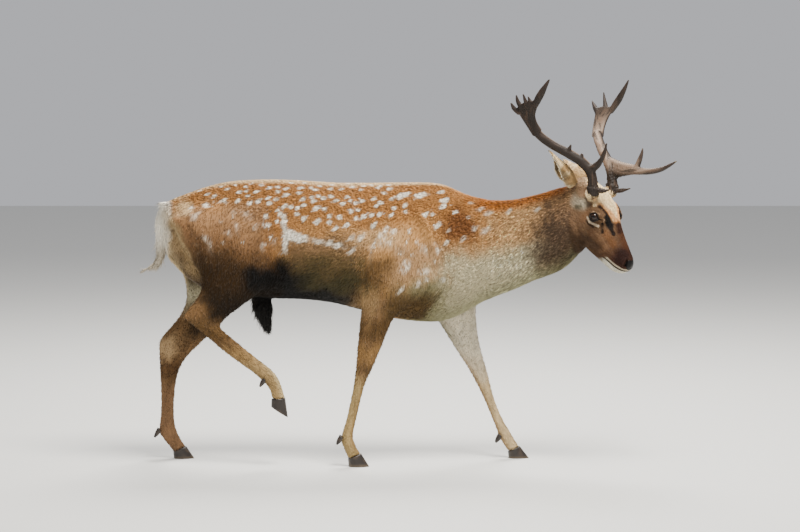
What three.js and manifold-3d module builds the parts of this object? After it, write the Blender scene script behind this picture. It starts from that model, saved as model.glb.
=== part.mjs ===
// Fallow deer buck: a still, life-size model, standing on three feet with the right hind foot
// lifted in mid-stride and the head lowered and turned to its right.
// Millimetres. +X runs towards the nose, +Y to the animal's left, +Z up. The origin is on the
// ground, under the middle of the whole animal's box.
import * as THREE from 'three';
import { mergeVertices } from 'three/addons/utils/BufferGeometryUtils.js';
import Module from 'manifold-3d';

const wasm = await Module();
wasm.setup();

// ---- Driving dimensions ---------------------------------------------------------------------

const GAP = 0.3;                       // left between two pieces that meet
const EAR_GAP = 0.8;                   // the same round the ears, whose cup is wider at its root
const BODY_SIDES = 22;                 // points round the trunk and neck
const HEAD_SIDES = 20;
const LEG_SIDES = 12;
const TINE_SIDES = 8;
const LIMB_DEPTH = 34;                 // the trunk keeps this much each side of the mid-plane
const BELOW_ELBOW = 380;               // heights at which a limb's space turns straight down
const BELOW_HOCK = 420;
const UNDER_FOOT = 60;                 // and how far below the ground it runs

const HEAD_ORIGIN = new THREE.Vector3(795, -70, 905);   // the poll, between the antlers
const HEAD_YAW = -38;                  // degrees; negative turns the nose to the animal's right
const HEAD_PITCH = 54;                 // degrees; the nose points this far below level

const POLL = [-34, 0, 0];              // the head is parted from the neck along a plane through
const THROAT = [128, 0, -128];         // these two points, in the head's own frame
const EYE_RADIUS = 16;
const EYE_PLACE = [114, 50, -12];      // along the head, out from its middle, up from its axis
const ORBIT_PLACE = [110, 34, -2];     // the brow that swells round each eye
const ORBIT_RADII = [46, 24, 30];
const EAR_HALF_WIDTH = 37;
const EAR_WALL = 4;
const HOOF_LENGTH = 66;                // heel to toe, on the sole
const HOOF_CLEFT = 1.6;                // from the foot's middle to each claw's inner side

// ---- Stations -------------------------------------------------------------------------------
// A station is one cross-section, set out in the side view: [x, z] of the top or front edge,
// [x, z] of the bottom or back edge, then y of its middle, half its width, and the degrees by
// which its width is turned about the vertical.

const BODY = [                         // rump to throat, along the back and the belly
  [-562, 827, -565, 730, 0, 34, 0],
  [-538, 848, -550, 660, 0, 70, 0],
  [-493, 867, -499, 602, 0, 98, 0],
  [-426, 891, -429, 557, 0, 114, 0],
  [-358, 909, -358, 537, 0, 120, 0],
  [-250, 915, -250, 531, 0, 127, 0],
  [-128, 912, -128, 528, 0, 134, 0],
  [-22, 903, -22, 517, 0, 137, 0],
  [67, 903, 67, 493, 0, 132, 0],
  [157, 904, 154, 467, 0, 123, 0],
  [250, 906, 250, 454, 0, 112, 0],
  [323, 903, 330, 452, 0, 102, 0],
  [368, 882, 403, 483, 0, 95, 0],
  [416, 860, 454, 518, 0, 90, 0],
  [474, 849, 509, 539, -3, 86, -2],
  [538, 846, 570, 562, -9, 81, -6],
  [602, 860, 621, 589, -20, 77, -13],
  [656, 876, 672, 608, -34, 74, -22],
  [704, 892, 715, 628, -48, 70, -30],
  [742, 903, 750, 666, -60, 62, -36],
  [774, 896, 784, 704, -70, 50, -38],
  [800, 870, 806, 770, -78, 34, -38],
];
const NECK_START = 14;                 // the station where the neck leaves the trunk

const LEG_FORE_RIGHT = [               // shoulder to coronet, front edge then back edge
  [269, 804, 154, 798, -62, 24, 0],
  [320, 709, 109, 716, -78, 36, 0],
  [320, 604, 74, 623, -86, 42, 0],
  [250, 531, 64, 547, -90, 40, 0],
  [182, 488, 66, 505, -91, 34, 0],
  [165, 458, 61, 460, -92, 30, 0],
  [148, 415, 56, 412, -92, 27, 0],
  [131, 372, 52, 367, -93, 24, 0],
  [114, 334, 50, 332, -94, 22, 0],
  [103, 308, 47, 303, -94, 23, 0],
  [88, 280, 44, 274, -94, 21, 0],
  [77, 248, 39, 245, -94, 17, 0],
  [67, 206, 31, 206, -94, 15, 0],
  [54, 148, 19, 151, -94, 15, 0],
  [46, 116, 8, 119, -94, 17, 0],
  [43, 94, -1, 87, -95, 20, 0],
  [52, 68, 12, 52, -95, 18, 0],
  [68, 42, 26, 26, -95, 22, 0],
];
const LEG_FORE_LEFT = [
  [358, 792, 230, 785, 62, 24, 0],
  [410, 693, 198, 700, 78, 36, 0],
  [442, 586, 250, 548, 86, 42, 0],
  [442, 515, 288, 477, 90, 38, 0],
  [438, 470, 320, 438, 91, 32, 0],
  [443, 425, 342, 396, 92, 28, 0],
  [451, 370, 373, 348, 92, 25, 0],
  [465, 318, 405, 301, 93, 22, 0],
  [476, 283, 424, 267, 94, 23, 0],
  [483, 251, 439, 239, 94, 21, 0],
  [490, 222, 453, 212, 94, 17, 0],
  [502, 180, 470, 172, 94, 15, 0],
  [523, 132, 491, 122, 94, 15, 0],
  [538, 106, 502, 93, 94, 17, 0],
  [550, 88, 510, 66, 95, 20, 0],
  [563, 62, 525, 43, 95, 18, 0],
  [579, 39, 541, 22, 95, 22, 0],
];
const LEG_HIND_RIGHT = [
  [-301, 833, -474, 833, -64, 34, 0],
  [-224, 764, -544, 796, -78, 48, 0],
  [-182, 688, -515, 730, -86, 54, 0],
  [-192, 617, -480, 672, -88, 53, 0],
  [-250, 559, -451, 624, -89, 45, 0],
  [-301, 521, -437, 579, -90, 35, 0],
  [-342, 491, -456, 540, -90, 27, 0],
  [-371, 466, -486, 505, -90, 23, 0],
  [-379, 449, -501, 481, -90, 22, 0],
  [-365, 433, -472, 455, -90, 21, 0],
  [-336, 410, -422, 413, -90, 17, 0],
  [-291, 373, -381, 375, -90, 16, 0],
  [-250, 339, -326, 334, -90, 16, 0],
  [-222, 320, -275, 299, -90, 18, 0],
  [-198, 294, -246, 272, -90, 21, 0],
  [-182, 257, -224, 249, -90, 18, 0],
  [-174, 220, -218, 217, -90, 22, 0],
];
const LEG_HIND_LEFT = [
  [-320, 820, -493, 820, 64, 34, 0],
  [-250, 748, -554, 780, 78, 48, 0],
  [-237, 670, -550, 709, 85, 52, 0],
  [-269, 593, -528, 650, 88, 48, 0],
  [-320, 522, -502, 580, 89, 40, 0],
  [-378, 451, -493, 515, 90, 30, 0],
  [-422, 399, -522, 457, 90, 25, 0],
  [-458, 365, -566, 412, 90, 23, 0],
  [-480, 344, -590, 383, 90, 22, 0],
  [-499, 324, -587, 341, 90, 21, 0],
  [-520, 287, -586, 293, 90, 18, 0],
  [-533, 225, -582, 225, 90, 16, 0],
  [-536, 155, -582, 155, 90, 16, 0],
  [-534, 116, -586, 116, 90, 18, 0],
  [-528, 94, -592, 84, 90, 21, 0],
  [-516, 65, -562, 46, 90, 19, 0],
  [-499, 39, -541, 22, 90, 22, 0],
];

// Each limb's edge on the body, from behind over the top to the front, as [x, z].
const FORE_RIGHT_EDGE = [
  [46, 520], [48, 600], [78, 700], [140, 785], [215, 818], [290, 775], [338, 680], [340, 580], [290, 500],
  [262, 430],
];
const FORE_LEFT_EDGE = [
  [180, 520], [178, 600], [190, 700], [235, 775], [300, 808], [375, 775], [432, 690], [460, 590], [468, 500],
  [470, 430],
];
const HIND_RIGHT_EDGE = [
  [-640, 826], [-520, 848], [-400, 862], [-290, 838], [-212, 775], [-168, 690], [-162, 600], [-190, 500],
];
const HIND_LEFT_EDGE = [
  [-640, 820], [-520, 838], [-410, 850], [-310, 826], [-250, 765], [-218, 680], [-222, 600], [-250, 500],
];

const TAIL = [
  [-528, 818, -516, 846, 0, 15, 0],
  [-546, 816, -562, 843, 0, 19, 0],
  [-560, 798, -585, 800, 0, 21, 0],
  [-560, 762, -588, 764, 0, 22, 0],
  [-556, 716, -588, 720, 0, 21, 0],
  [-562, 676, -582, 682, 0, 16, 0],
  [-574, 652, -588, 660, 0, 11, 0],
  [-594, 634, -602, 642, 0, 7, 0],
  [-626, 618, -629, 623, 0, 3, 0],
];
const SHEATH = [
  [-214, 560, -286, 556, 0, 24, 0],
  [-214, 520, -282, 522, 0, 20, 0],
  [-222, 478, -268, 482, 0, 15, 0],
  [-222, 450, -252, 456, 0, 10, 0],
  [-226, 428, -238, 430, 0, 5, 0],
];

// Along the head: place, top, bottom, half width, and how full the jaw is: 1 is an ellipse,
// and less is squarer.
const HEAD = [
  [-34, -12, -58, 26, 1],
  [-18, 4, -78, 44, 0.95],
  [8, 22, -98, 53, 0.9],
  [40, 34, -112, 59, 0.85],
  [72, 37, -118, 62, 0.8],
  [102, 36, -120, 62, 0.75],
  [128, 32, -121, 58, 0.7],
  [152, 27, -125, 50, 0.7],
  [180, 19, -120, 42, 0.7],
  [210, 13, -109, 36, 0.75],
  [240, 8, -99, 32, 0.8],
  [264, 4, -91, 31, 0.85],
  [284, 0, -80, 29, 0.95],
  [297, -8, -66, 25, 1],
  [305, -18, -50, 17, 1],
  [308, -28, -40, 7, 1],
];

// Antlers, in the head's own frame, as [along, out, up, thickness radius].
const RIGHT_BEAM = [
  [58, 51, 24, 17], [41, 53, 32, 20], [28, 54, 44, 16], [11, 56, 56, 15], [-13, 60, 66, 16], [-43, 74, 64, 15],
  [-70, 90, 57, 15], [-100, 108, 47, 15], [-127, 126, 36, 14], [-153, 146, 30, 14], [-179, 162, 28, 14],
  [-196, 168, 29, 14],
];
const LEFT_BEAM = [
  [58, 51, 24, 17], [42, 53, 32, 20], [28, 54, 40, 17], [12, 56, 50, 16], [-15, 60, 60, 17], [-54, 74, 55, 16],
  [-92, 94, 43, 16], [-133, 124, 30, 16], [-165, 149, 22, 15],
];
const RIGHT_BROW_TINE = [[-13, 60, 69, 13], [-10, 62, 106, 10], [-21, 66, 144, 7], [-45, 70, 175, 2]];
const LEFT_BROW_TINE = [
  [4, 60, 53, 15], [17, 64, 88, 15], [38, 70, 126, 12.5], [69, 76, 164, 11], [91, 84, 210, 8], [96, 90, 268, 2],
];
// The plate that fills the corner between the left beam and its brow tine.
const LEFT_WEB = [[-42, 70, 62, 12], [-8, 68, 84, 14], [30, 68, 130, 11]];
const LEFT_BROW_BRANCH = [[38, 70, 131, 9], [22, 73, 162, 7], [-4, 76, 191, 2]];
const RIGHT_BASE_TINE = [[44, 53, 34, 9], [67, 54, 64, 6], [76, 54, 90, 2]];
const LEFT_BASE_TINE = [[48, 53, 28, 9], [70, 54, 58, 6], [81, 54, 90, 2]];
const RIGHT_SPIKE = [[-92, 104, 56, 9], [-104, 107, 80, 2]];
const RIGHT_BUMP = [[-54, 77, 66, 9], [-66, 80, 82, 3]];

// Palm stations: [along, up] of the back edge, [along, up] of the front edge, out, half thickness.
const RIGHT_PALM = [
  [-188, 11, -184, 48, 166, 13], [-228, 17, -213, 52, 178, 11], [-259, 21, -229, 71, 190, 8],
  [-278, 26, -238, 98, 200, 7], [-283, 44, -243, 121, 207, 6], [-277, 67, -247, 135, 210, 5],
];
const LEFT_PALM = [
  [-165, -1, -146, 37, 150, 14], [-193, 4, -169, 40, 170, 11], [-218, 14, -189, 52, 186, 8],
  [-240, 26, -205, 76, 198, 7], [-252, 38, -214, 96, 205, 6],
];
const RIGHT_PALM_POINTS = [
  [[-264, 198, 29, 9], [-287, 208, 23, 7], [-301, 217, 32, 2]],
  [[-268, 203, 48, 9], [-294, 214, 54, 6], [-308, 222, 67, 2]],
  [[-262, 206, 72, 8], [-296, 222, 91, 2]],
  [[-260, 208, 90, 7], [-280, 218, 100, 2]],
];
const LEFT_PALM_POINTS = [
  [[-229, 198, 34, 10], [-259, 208, 27, 8], [-285, 217, 25, 2]],
  [[-226, 204, 62, 9], [-251, 213, 66, 6], [-284, 222, 76, 2]],
];
const RIGHT_TOP_TINE = [[-246, 206, 98, 10], [-258, 211, 133, 13], [-268, 213, 164, 9], [-279, 214, 199, 2]];
const LEFT_TOP_TINE = [[-211, 204, 72, 9], [-224, 209, 111, 12], [-242, 213, 153, 8], [-259, 214, 186, 2]];

// ---- Materials ------------------------------------------------------------------------------

const finish = (color, roughness) => new THREE.MeshStandardMaterial({ color, roughness, metalness: 0 });
const COAT = finish('#8a5a34', 0.95);
const COAT_NECK = finish('#7d6e5f', 0.95);
const COAT_PALE = finish('#d9d2c4', 0.95);
const ANTLER = finish('#4a3b2e', 0.7);
const HORN = finish('#2b2521', 0.5);
const EYE = finish('#140d09', 0.05);

// ---- Making solids --------------------------------------------------------------------------

const vector = (x, y, z) => new THREE.Vector3(x, y, z);
const turn = THREE.MathUtils.degToRad;

// A solid through a row of rings that all have the same even number of points. Each end is
// closed by a strip that joins the first half of the ring to the second.
function solidThrough(rings) {
  const sides = rings[0].length;
  const faces = [];
  for (let r = 0; r + 1 < rings.length; r++) {
    for (let k = 0; k < sides; k++) {
      const next = (k + 1) % sides;
      const a = r * sides + k;
      const b = r * sides + next;
      faces.push([a, b, b + sides], [a, b + sides, a + sides]);
    }
  }
  const last = (rings.length - 1) * sides;
  for (let k = 0; k < sides / 2 - 1; k++) {
    const [a, b, c, d] = [k, k + 1, sides - 2 - k, sides - 1 - k];
    faces.push([a, c, b], [a, d, c], [last + a, last + b, last + c], [last + a, last + c, last + d]);
  }
  const points = rings.flat();
  const volume = faces.reduce((sum, [a, b, c]) => sum + points[a].dot(points[b].clone().cross(points[c])), 0);
  const outward = volume > 0 ? faces : faces.map(([a, b, c]) => [a, c, b]);
  return new wasm.Manifold(new wasm.Mesh({
    numProp: 3,
    vertProperties: new Float32Array(points.flatMap((p) => p.toArray())),
    triVerts: new Uint32Array(outward.flat()),
  }));
}

function solidOf(geometry) {
  const bare = geometry.clone();
  bare.deleteAttribute('normal');
  bare.deleteAttribute('uv');
  const merged = mergeVertices(bare, 1e-4);
  return new wasm.Manifold(new wasm.Mesh({
    numProp: 3,
    vertProperties: new Float32Array(merged.attributes.position.array),
    triVerts: new Uint32Array(merged.index.array),
  }));
}

// The value of every column at a place between two rows, on a smooth curve through all of them.
function between(rows, place) {
  const last = rows.length - 1;
  const i = Math.min(Math.floor(place), last - 1);
  const s = place - i;
  const [before, from, to, after] = [rows[Math.max(i - 1, 0)], rows[i], rows[i + 1], rows[Math.min(i + 2, last)]];
  return from.map((v, k) => v + 0.5 * s * (to[k] - before[k]
    + s * (2 * before[k] - 5 * v + 4 * to[k] - after[k] + s * (3 * (v - to[k]) + after[k] - before[k]))));
}

// 'full' under 1 squares the lower half of the ring.
function ellipseRing(centre, up, side, sides, full = 1) {
  return Array.from({ length: sides }, (_, k) => {
    const angle = (2 * Math.PI * (k + 0.5)) / sides;
    const power = Math.cos(angle) < 0 ? full : 1;
    const width = Math.sign(Math.sin(angle)) * Math.abs(Math.sin(angle)) ** power;
    return centre.clone().addScaledVector(up, Math.cos(angle)).addScaledVector(side, width);
  });
}

const lengthen = (v, extra) => v.clone().setLength(v.length() + extra);

// A loft whose cross-sections come from a table. 'section' turns a row into { centre, up, side,
// full }; 'grow' makes the solid that much larger all round, to cut a neighbour with.
function loft(rows, section, { sides, perSpan = 2, from = 0, to = rows.length - 1, grow = 0 }) {
  const steps = Math.round((to - from) * perSpan);
  const place = (k) => from + ((to - from) * k) / steps;
  const sections = Array.from({ length: steps + 1 }, (_, k) => section(between(rows, place(k))));
  if (grow) {
    const ends = [[0, 1], [steps, steps - 1]];
    for (const [end, inner] of ends) {
      const outward = sections[end].centre.clone().sub(sections[inner].centre).setLength(grow);
      sections[end].centre.add(outward);
    }
  }
  return solidThrough(sections.map(({ centre, up, side, full }) =>
    ellipseRing(centre, lengthen(up, grow), lengthen(side, grow), sides, full)));
}

function bodySection([ax, az, bx, bz, y, halfWidth, yaw]) {
  return {
    centre: vector((ax + bx) / 2, y, (az + bz) / 2),
    up: vector((ax - bx) / 2, 0, (az - bz) / 2),
    side: vector(-Math.sin(turn(yaw)), Math.cos(turn(yaw)), 0).multiplyScalar(halfWidth),
    full: 1,
  };
}

// ---- The head's own frame -------------------------------------------------------------------

const HEAD_ALONG = vector(
  Math.cos(turn(HEAD_PITCH)) * Math.cos(turn(HEAD_YAW)),
  Math.cos(turn(HEAD_PITCH)) * Math.sin(turn(HEAD_YAW)),
  -Math.sin(turn(HEAD_PITCH)),
);
const HEAD_OUT = vector(-Math.sin(turn(HEAD_YAW)), Math.cos(turn(HEAD_YAW)), 0);
const HEAD_UP = HEAD_ALONG.clone().cross(HEAD_OUT);

function onHead(along, out, up) {
  return HEAD_ORIGIN.clone().addScaledVector(HEAD_ALONG, along)
    .addScaledVector(HEAD_OUT, out).addScaledVector(HEAD_UP, up);
}

function headSection([along, top, bottom, halfWidth, full]) {
  return {
    centre: onHead(along, 0, (top + bottom) / 2),
    up: HEAD_UP.clone().multiplyScalar((top - bottom) / 2),
    side: HEAD_OUT.clone().multiplyScalar(halfWidth),
    full,
  };
}

function ellipsoid(centre, radii, grow = 0) {
  const ball = new THREE.SphereGeometry(1, 10, 7);
  const frame = new THREE.Matrix4().makeBasis(
    HEAD_ALONG.clone().multiplyScalar(radii[0] + grow),
    HEAD_OUT.clone().multiplyScalar(radii[1] + grow),
    HEAD_UP.clone().multiplyScalar(radii[2] + grow),
  ).setPosition(centre);
  return solidOf(ball.applyMatrix4(frame));
}

// The half of space in front of the plane from poll to throat, or behind it.
function headSide(side) {
  const poll = onHead(...POLL);
  const normal = onHead(...THROAT).sub(poll).cross(HEAD_OUT).normalize();
  const size = 900;
  const half = new THREE.BoxGeometry(size, size, size);
  const middle = poll.addScaledVector(normal, side * (size / 2 + GAP / 2));
  half.applyMatrix4(new THREE.Matrix4().makeRotationFromQuaternion(
    new THREE.Quaternion().setFromUnitVectors(vector(0, 0, 1), normal)).setPosition(middle));
  return solidOf(half);
}

// ---- Ears -----------------------------------------------------------------------------------

// A cupped leaf round the line from base to tip, open towards 'opening': nearly a tube at its
// root, widest a third of the way up, and pointed.
function ear(base, tip, opening, grow = 0) {
  const along = tip.clone().sub(base).normalize();
  const root = base.clone().addScaledVector(along, -grow);
  const axis = tip.clone().sub(root);
  const front = opening.clone().addScaledVector(along, -opening.dot(along)).normalize();
  const across = along.clone().cross(front);
  const rings = [];
  const steps = 8;
  for (let r = 0; r <= steps; r++) {
    const s = r / steps;
    const leaf = 0.55 + 0.45 * Math.sin(Math.PI * Math.min(s / 0.7, 1));
    const halfWidth = EAR_HALF_WIDTH * leaf * Math.sqrt(1 - 0.985 * s * s);
    const curl = THREE.MathUtils.lerp(turn(140), turn(72), s);
    const radius = halfWidth / Math.sin(Math.min(curl, Math.PI / 2));
    const outer = radius + grow;
    const wrap = curl + (1.5 * grow) / radius;
    const wall = Math.min(EAR_WALL * (1.3 - 0.7 * s), halfWidth) + 2 * grow;
    const centre = root.clone().addScaledVector(axis, s);
    const arc = (reach, order) => Array.from({ length: 7 }, (_, k) => {
      const angle = wrap * (order === 1 ? 1 - k / 3 : k / 3 - 1);
      return centre.clone().addScaledVector(across, reach * Math.sin(angle))
        .addScaledVector(front, radius * 0.35 - reach * Math.cos(angle));
    });
    rings.push([...arc(outer, 1), ...arc(outer - wall, -1)]);
  }
  return solidThrough(rings);
}

// ---- Antlers --------------------------------------------------------------------------------

// A round branch through points in the head's frame. 'hand' is 1 for the left antler.
function branch(rows, hand, grow = 0) {
  const steps = rows.length - 1;
  const centres = rows.map(([along, out, up]) => onHead(along, hand * out, up));
  const rings = centres.map((centre, k) => {
    const direction = centres[Math.min(k + 1, steps)].clone().sub(centres[Math.max(k - 1, 0)]).normalize();
    const side = direction.clone().cross(HEAD_OUT).normalize();
    const up = side.clone().cross(direction);
    const radius = rows[k][3] + grow;
    if (grow && (k === 0 || k === steps)) centre.addScaledVector(direction, k === 0 ? -grow : grow);
    return ellipseRing(centre, up.multiplyScalar(radius), side.multiplyScalar(radius), TINE_SIDES);
  });
  return solidThrough(rings);
}

// The flat palm between the beam and the points.
function palm(rows, hand, grow = 0) {
  const section = ([along1, up1, along2, up2, out, halfThickness]) => {
    const back = onHead(along1, hand * out, up1);
    const front = onHead(along2, hand * out, up2);
    const up = front.clone().sub(back).multiplyScalar(0.5);
    const flat = HEAD_OUT.clone().addScaledVector(HEAD_ALONG, 0.5 * hand);
    const side = flat.cross(up).cross(up).setLength(halfThickness);
    return { centre: back.add(front).multiplyScalar(0.5), up, side, full: 1 };
  };
  return loft(rows, section, { sides: 10, perSpan: 1, grow });
}

// ---- Hooves ---------------------------------------------------------------------------------

// One claw, between the coronet, which is the leg's last station, and a flat sole that runs
// from heel to toe. 'hand' is 1 for the claw on the animal's left of the foot.
function claw([ax, az, bx, bz, y, halfWidth], heel, toe, hand) {
  const coronetFront = vector(ax, y, az);
  const coronetBack = vector(bx, y, bz);
  const soleFront = vector(toe[0], y, toe[1]);
  const soleBack = vector(heel[0], y, heel[1]);
  const down = soleBack.clone().sub(coronetBack).normalize();
  coronetFront.addScaledVector(down, GAP);
  coronetBack.addScaledVector(down, GAP);
  const outline = (back, front, width, toePoint) => {
    const points = [];
    const steps = 7;
    for (let k = 0; k <= steps; k++) {
      const angle = (Math.PI * k) / steps;
      const c = Math.cos(angle);
      const bulge = Math.sin(angle) * (1 - toePoint * (1 + c) / 2);
      const point = back.clone().lerp(front, (1 + c) / 2);
      point.y += hand * (HOOF_CLEFT + (width - HOOF_CLEFT) * bulge);
      points.push(point);
    }
    return points;
  };
  const rings = [0, 0.4, 1].map((s) => outline(
    soleBack.clone().lerp(coronetBack, s),
    soleFront.clone().lerp(coronetFront, s),
    THREE.MathUtils.lerp(halfWidth + 2.5, halfWidth, s),
    THREE.MathUtils.lerp(0.42, 0.1, s),
  ));
  return solidThrough(rings);
}

// A small horny peg behind the fetlock.
function dewclaw(root, tip) {
  const axis = tip.clone().sub(root);
  const side = vector(0, 1, 0);
  const up = axis.clone().cross(side).normalize();
  return solidThrough([[0, 9], [0.6, 8], [1, 3]].map(([s, radius]) => ellipseRing(
    root.clone().addScaledVector(axis, s),
    up.clone().multiplyScalar(radius),
    side.clone().multiplyScalar(radius * 0.85),
    6,
  )));
}

// ---- Putting it together --------------------------------------------------------------------

const solids = [];                     // [name, solid, material]
const add = (name, solid, material) => solids.push([name, mainPiece(solid), material]);
const joined = (list) => list.reduce((sum, solid) => sum.add(solid));
const without = (solid, cutters) => cutters.reduce((rest, cutter) => rest.subtract(cutter), solid);
// A cut can leave slivers beside the piece itself: only the piece is kept.
const mainPiece = (solid) => solid.decompose().sort((a, b) => b.volume() - a.volume())[0];

// The space on one side of the body that a limb takes: its edge, run down past the ground.
function limbSpace(edge, hand, lowFront, lowBack, grow) {
  const curve = new THREE.SplineCurve(edge.map(([x, z]) => new THREE.Vector2(x, z)));
  const points = curve.getPoints(edge.length * 2 - 2);
  const outline = new THREE.Shape([...points, ...[
    [lowFront, BELOW_ELBOW], [lowFront, -UNDER_FOOT], [lowBack, -UNDER_FOOT], [lowBack, BELOW_HOCK],
  ].map(([x, z]) => new THREE.Vector2(x, z))]);
  const depth = 260;
  const slab = new THREE.ExtrudeGeometry(outline, {
    depth, steps: 1, bevelEnabled: grow > 0, bevelSize: grow, bevelThickness: grow, bevelSegments: 1,
  });
  slab.rotateX(Math.PI / 2);           // the outline's second axis becomes height
  slab.translate(0, hand > 0 ? LIMB_DEPTH + depth : -LIMB_DEPTH, 0);
  return solidOf(slab);
}

const LIMBS = [
  { name: 'fore_right', rows: LEG_FORE_RIGHT, edge: FORE_RIGHT_EDGE, hand: -1, lowFront: 262, lowBack: -80,
    heel: [28, 0], toe: [28 + HOOF_LENGTH, 0] },
  { name: 'fore_left', rows: LEG_FORE_LEFT, edge: FORE_LEFT_EDGE, hand: 1, lowFront: 680, lowBack: 180,
    heel: [543, 0], toe: [543 + HOOF_LENGTH, 0] },
  { name: 'hind_right', rows: LEG_HIND_RIGHT, edge: HIND_RIGHT_EDGE, hand: -1, lowFront: -120, lowBack: -690,
    heel: [-219, 193], toe: [-166, 158] },
  { name: 'hind_left', rows: LEG_HIND_LEFT, edge: HIND_LEFT_EDGE, hand: 1, lowFront: -200, lowBack: -690,
    heel: [-539, 0], toe: [-539 + HOOF_LENGTH, 0] },
];

function legLoft(rows, grow = 0) {
  return loft(rows, bodySection, { sides: LEG_SIDES, perSpan: 1, grow });
}

const bodyLoft = { sides: BODY_SIDES, perSpan: 1 };
const tail = loft(TAIL, bodySection, { sides: 12, perSpan: 1 });
const tailSpace = loft(TAIL, bodySection, { sides: 12, perSpan: 1, grow: GAP });
const sheath = loft(SHEATH, bodySection, { sides: 12, perSpan: 1 });
const sheathSpace = loft(SHEATH, bodySection, { sides: 12, perSpan: 1, grow: GAP });

const trunkAndLegs = joined([
  loft(BODY, bodySection, { ...bodyLoft, to: NECK_START }),
  ...LIMBS.map(({ rows }) => legLoft(rows)),
]);
const spaces = LIMBS.map((limb) => limbSpace(limb.edge, limb.hand, limb.lowFront, limb.lowBack, 0));
const widerSpaces = LIMBS.map((limb) => limbSpace(limb.edge, limb.hand, limb.lowFront, limb.lowBack, GAP));
add('trunk', without(trunkAndLegs, [...widerSpaces, tailSpace, sheathSpace]), COAT);
LIMBS.forEach(({ name }, k) => {
  add(`leg_${name}`, without(trunkAndLegs.intersect(spaces[k]), [tailSpace, sheathSpace]), COAT);
});
add('tail', tail, COAT_PALE);
add('sheath', sheath, HORN);

// Feet.
for (const { name, rows, heel, toe, hand } of LIMBS) {
  const coronet = rows[rows.length - 1];
  const fetlock = rows[rows.length - 3];
  const legSpace = legLoft(rows, GAP);
  for (const side of [1, -1]) {
    const place = side === hand ? 'outer' : 'inner';
    add(`hoof_${name}_${place}`, claw(coronet, heel, toe, side), HORN);
    const root = vector(fetlock[2] + 7, fetlock[4] + side * 11, fetlock[3] + 10);
    const tip = root.clone().add(vector(-16, side * 2, -24));
    add(`dewclaw_${name}_${place}`, without(dewclaw(root, tip), [legSpace]), HORN);
  }
}

// Head, eyes, ears and antlers.
const eyeCentre = (hand) => onHead(EYE_PLACE[0], hand * EYE_PLACE[1], EYE_PLACE[2]);
const orbit = (hand) => ellipsoid(onHead(ORBIT_PLACE[0], hand * ORBIT_PLACE[1], ORBIT_PLACE[2]), ORBIT_RADII);
const headLoft = (grow) => loft(HEAD, headSection, { sides: HEAD_SIDES, perSpan: 1, grow });
const EARS = [
  { side: 'right', base: onHead(-22, -42, -22), tip: vector(661, -160, 1017), opening: vector(-0.9, -0.22, -0.35) },
  { side: 'left', base: onHead(-22, 42, -22), tip: vector(716, 96, 968), opening: vector(-0.5, 0.8, -0.2) },
];
const ANTLERS = [
  { side: 'right', hand: -1, beam: RIGHT_BEAM, brow: RIGHT_BROW_TINE, base: RIGHT_BASE_TINE, palm: RIGHT_PALM,
    points: RIGHT_PALM_POINTS, top: RIGHT_TOP_TINE, twigs: [RIGHT_SPIKE, RIGHT_BUMP], browTwigs: [] },
  { side: 'left', hand: 1, beam: LEFT_BEAM, brow: LEFT_BROW_TINE, base: LEFT_BASE_TINE, palm: LEFT_PALM,
    points: LEFT_PALM_POINTS, top: LEFT_TOP_TINE, twigs: [], browTwigs: [LEFT_BROW_BRANCH, LEFT_WEB] },
];
const earSolids = EARS.map(({ base, tip, opening }) => ear(base, tip, opening));
const earSpaces = EARS.map(({ base, tip, opening }) => ear(base, tip, opening, EAR_GAP));
const headCutters = [...ANTLERS.map(({ beam, hand }) => branch(beam, hand, GAP)), ...[-1, 1].map((hand) =>
  ellipsoid(eyeCentre(hand), [EYE_RADIUS, EYE_RADIUS, EYE_RADIUS], GAP))];
const headAndNeck = joined([
  headLoft(0),
  ...[-1, 1].map(orbit),
  loft(BODY, bodySection, { ...bodyLoft, from: NECK_START + 0.006 }),
]);
add('head', without(headAndNeck.intersect(headSide(1)), [...headCutters, ...earSpaces]), COAT_NECK);
add('neck', without(headAndNeck.intersect(headSide(-1)), earSpaces), COAT_NECK);
EARS.forEach(({ side }, k) => add(`ear_${side}`, earSolids[k], COAT_NECK));
add('eye_right', ellipsoid(eyeCentre(-1), [EYE_RADIUS, EYE_RADIUS, EYE_RADIUS]), EYE);
add('eye_left', ellipsoid(eyeCentre(1), [EYE_RADIUS, EYE_RADIUS, EYE_RADIUS]), EYE);

for (const { side, hand, beam, brow, base, palm: plate, points, top, twigs, browTwigs } of ANTLERS) {
  const stem = joined([branch(beam, hand), ...twigs.map((rows) => branch(rows, hand))]);
  const stemSpace = branch(beam, hand, GAP);
  const browTine = joined([brow, ...browTwigs].map((rows) => branch(rows, hand)));
  const palmSolid = joined([palm(plate, hand), ...points.map((rows) => branch(rows, hand))]);
  const palmSpace = palm(plate, hand, GAP);
  add(`antler_${side}_beam`, stem, ANTLER);
  add(`antler_${side}_brow_tine`, without(browTine, [stemSpace]), ANTLER);
  add(`antler_${side}_base_tine`, without(branch(base, hand), [stemSpace, headLoft(GAP)]), ANTLER);
  add(`antler_${side}_palm`, without(palmSolid, [stemSpace]), ANTLER);
  add(`antler_${side}_top_tine`, without(branch(top, hand), [palmSpace, stemSpace]), ANTLER);
}

// ---- The scene ------------------------------------------------------------------------------

const deer = new THREE.Group();
for (const [name, solid, material] of solids) {
  const { vertProperties, triVerts } = solid.getMesh();
  const geometry = new THREE.BufferGeometry();
  geometry.setAttribute('position', new THREE.BufferAttribute(vertProperties, 3));
  geometry.setIndex(new THREE.BufferAttribute(triVerts, 1));
  const mesh = new THREE.Mesh(geometry, material);
  mesh.name = name;
  deer.add(mesh);
}
const box = new THREE.Box3().setFromObject(deer);
deer.position.set(-(box.min.x + box.max.x) / 2, -(box.min.y + box.max.y) / 2, -box.min.z);

export default deer;
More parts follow.
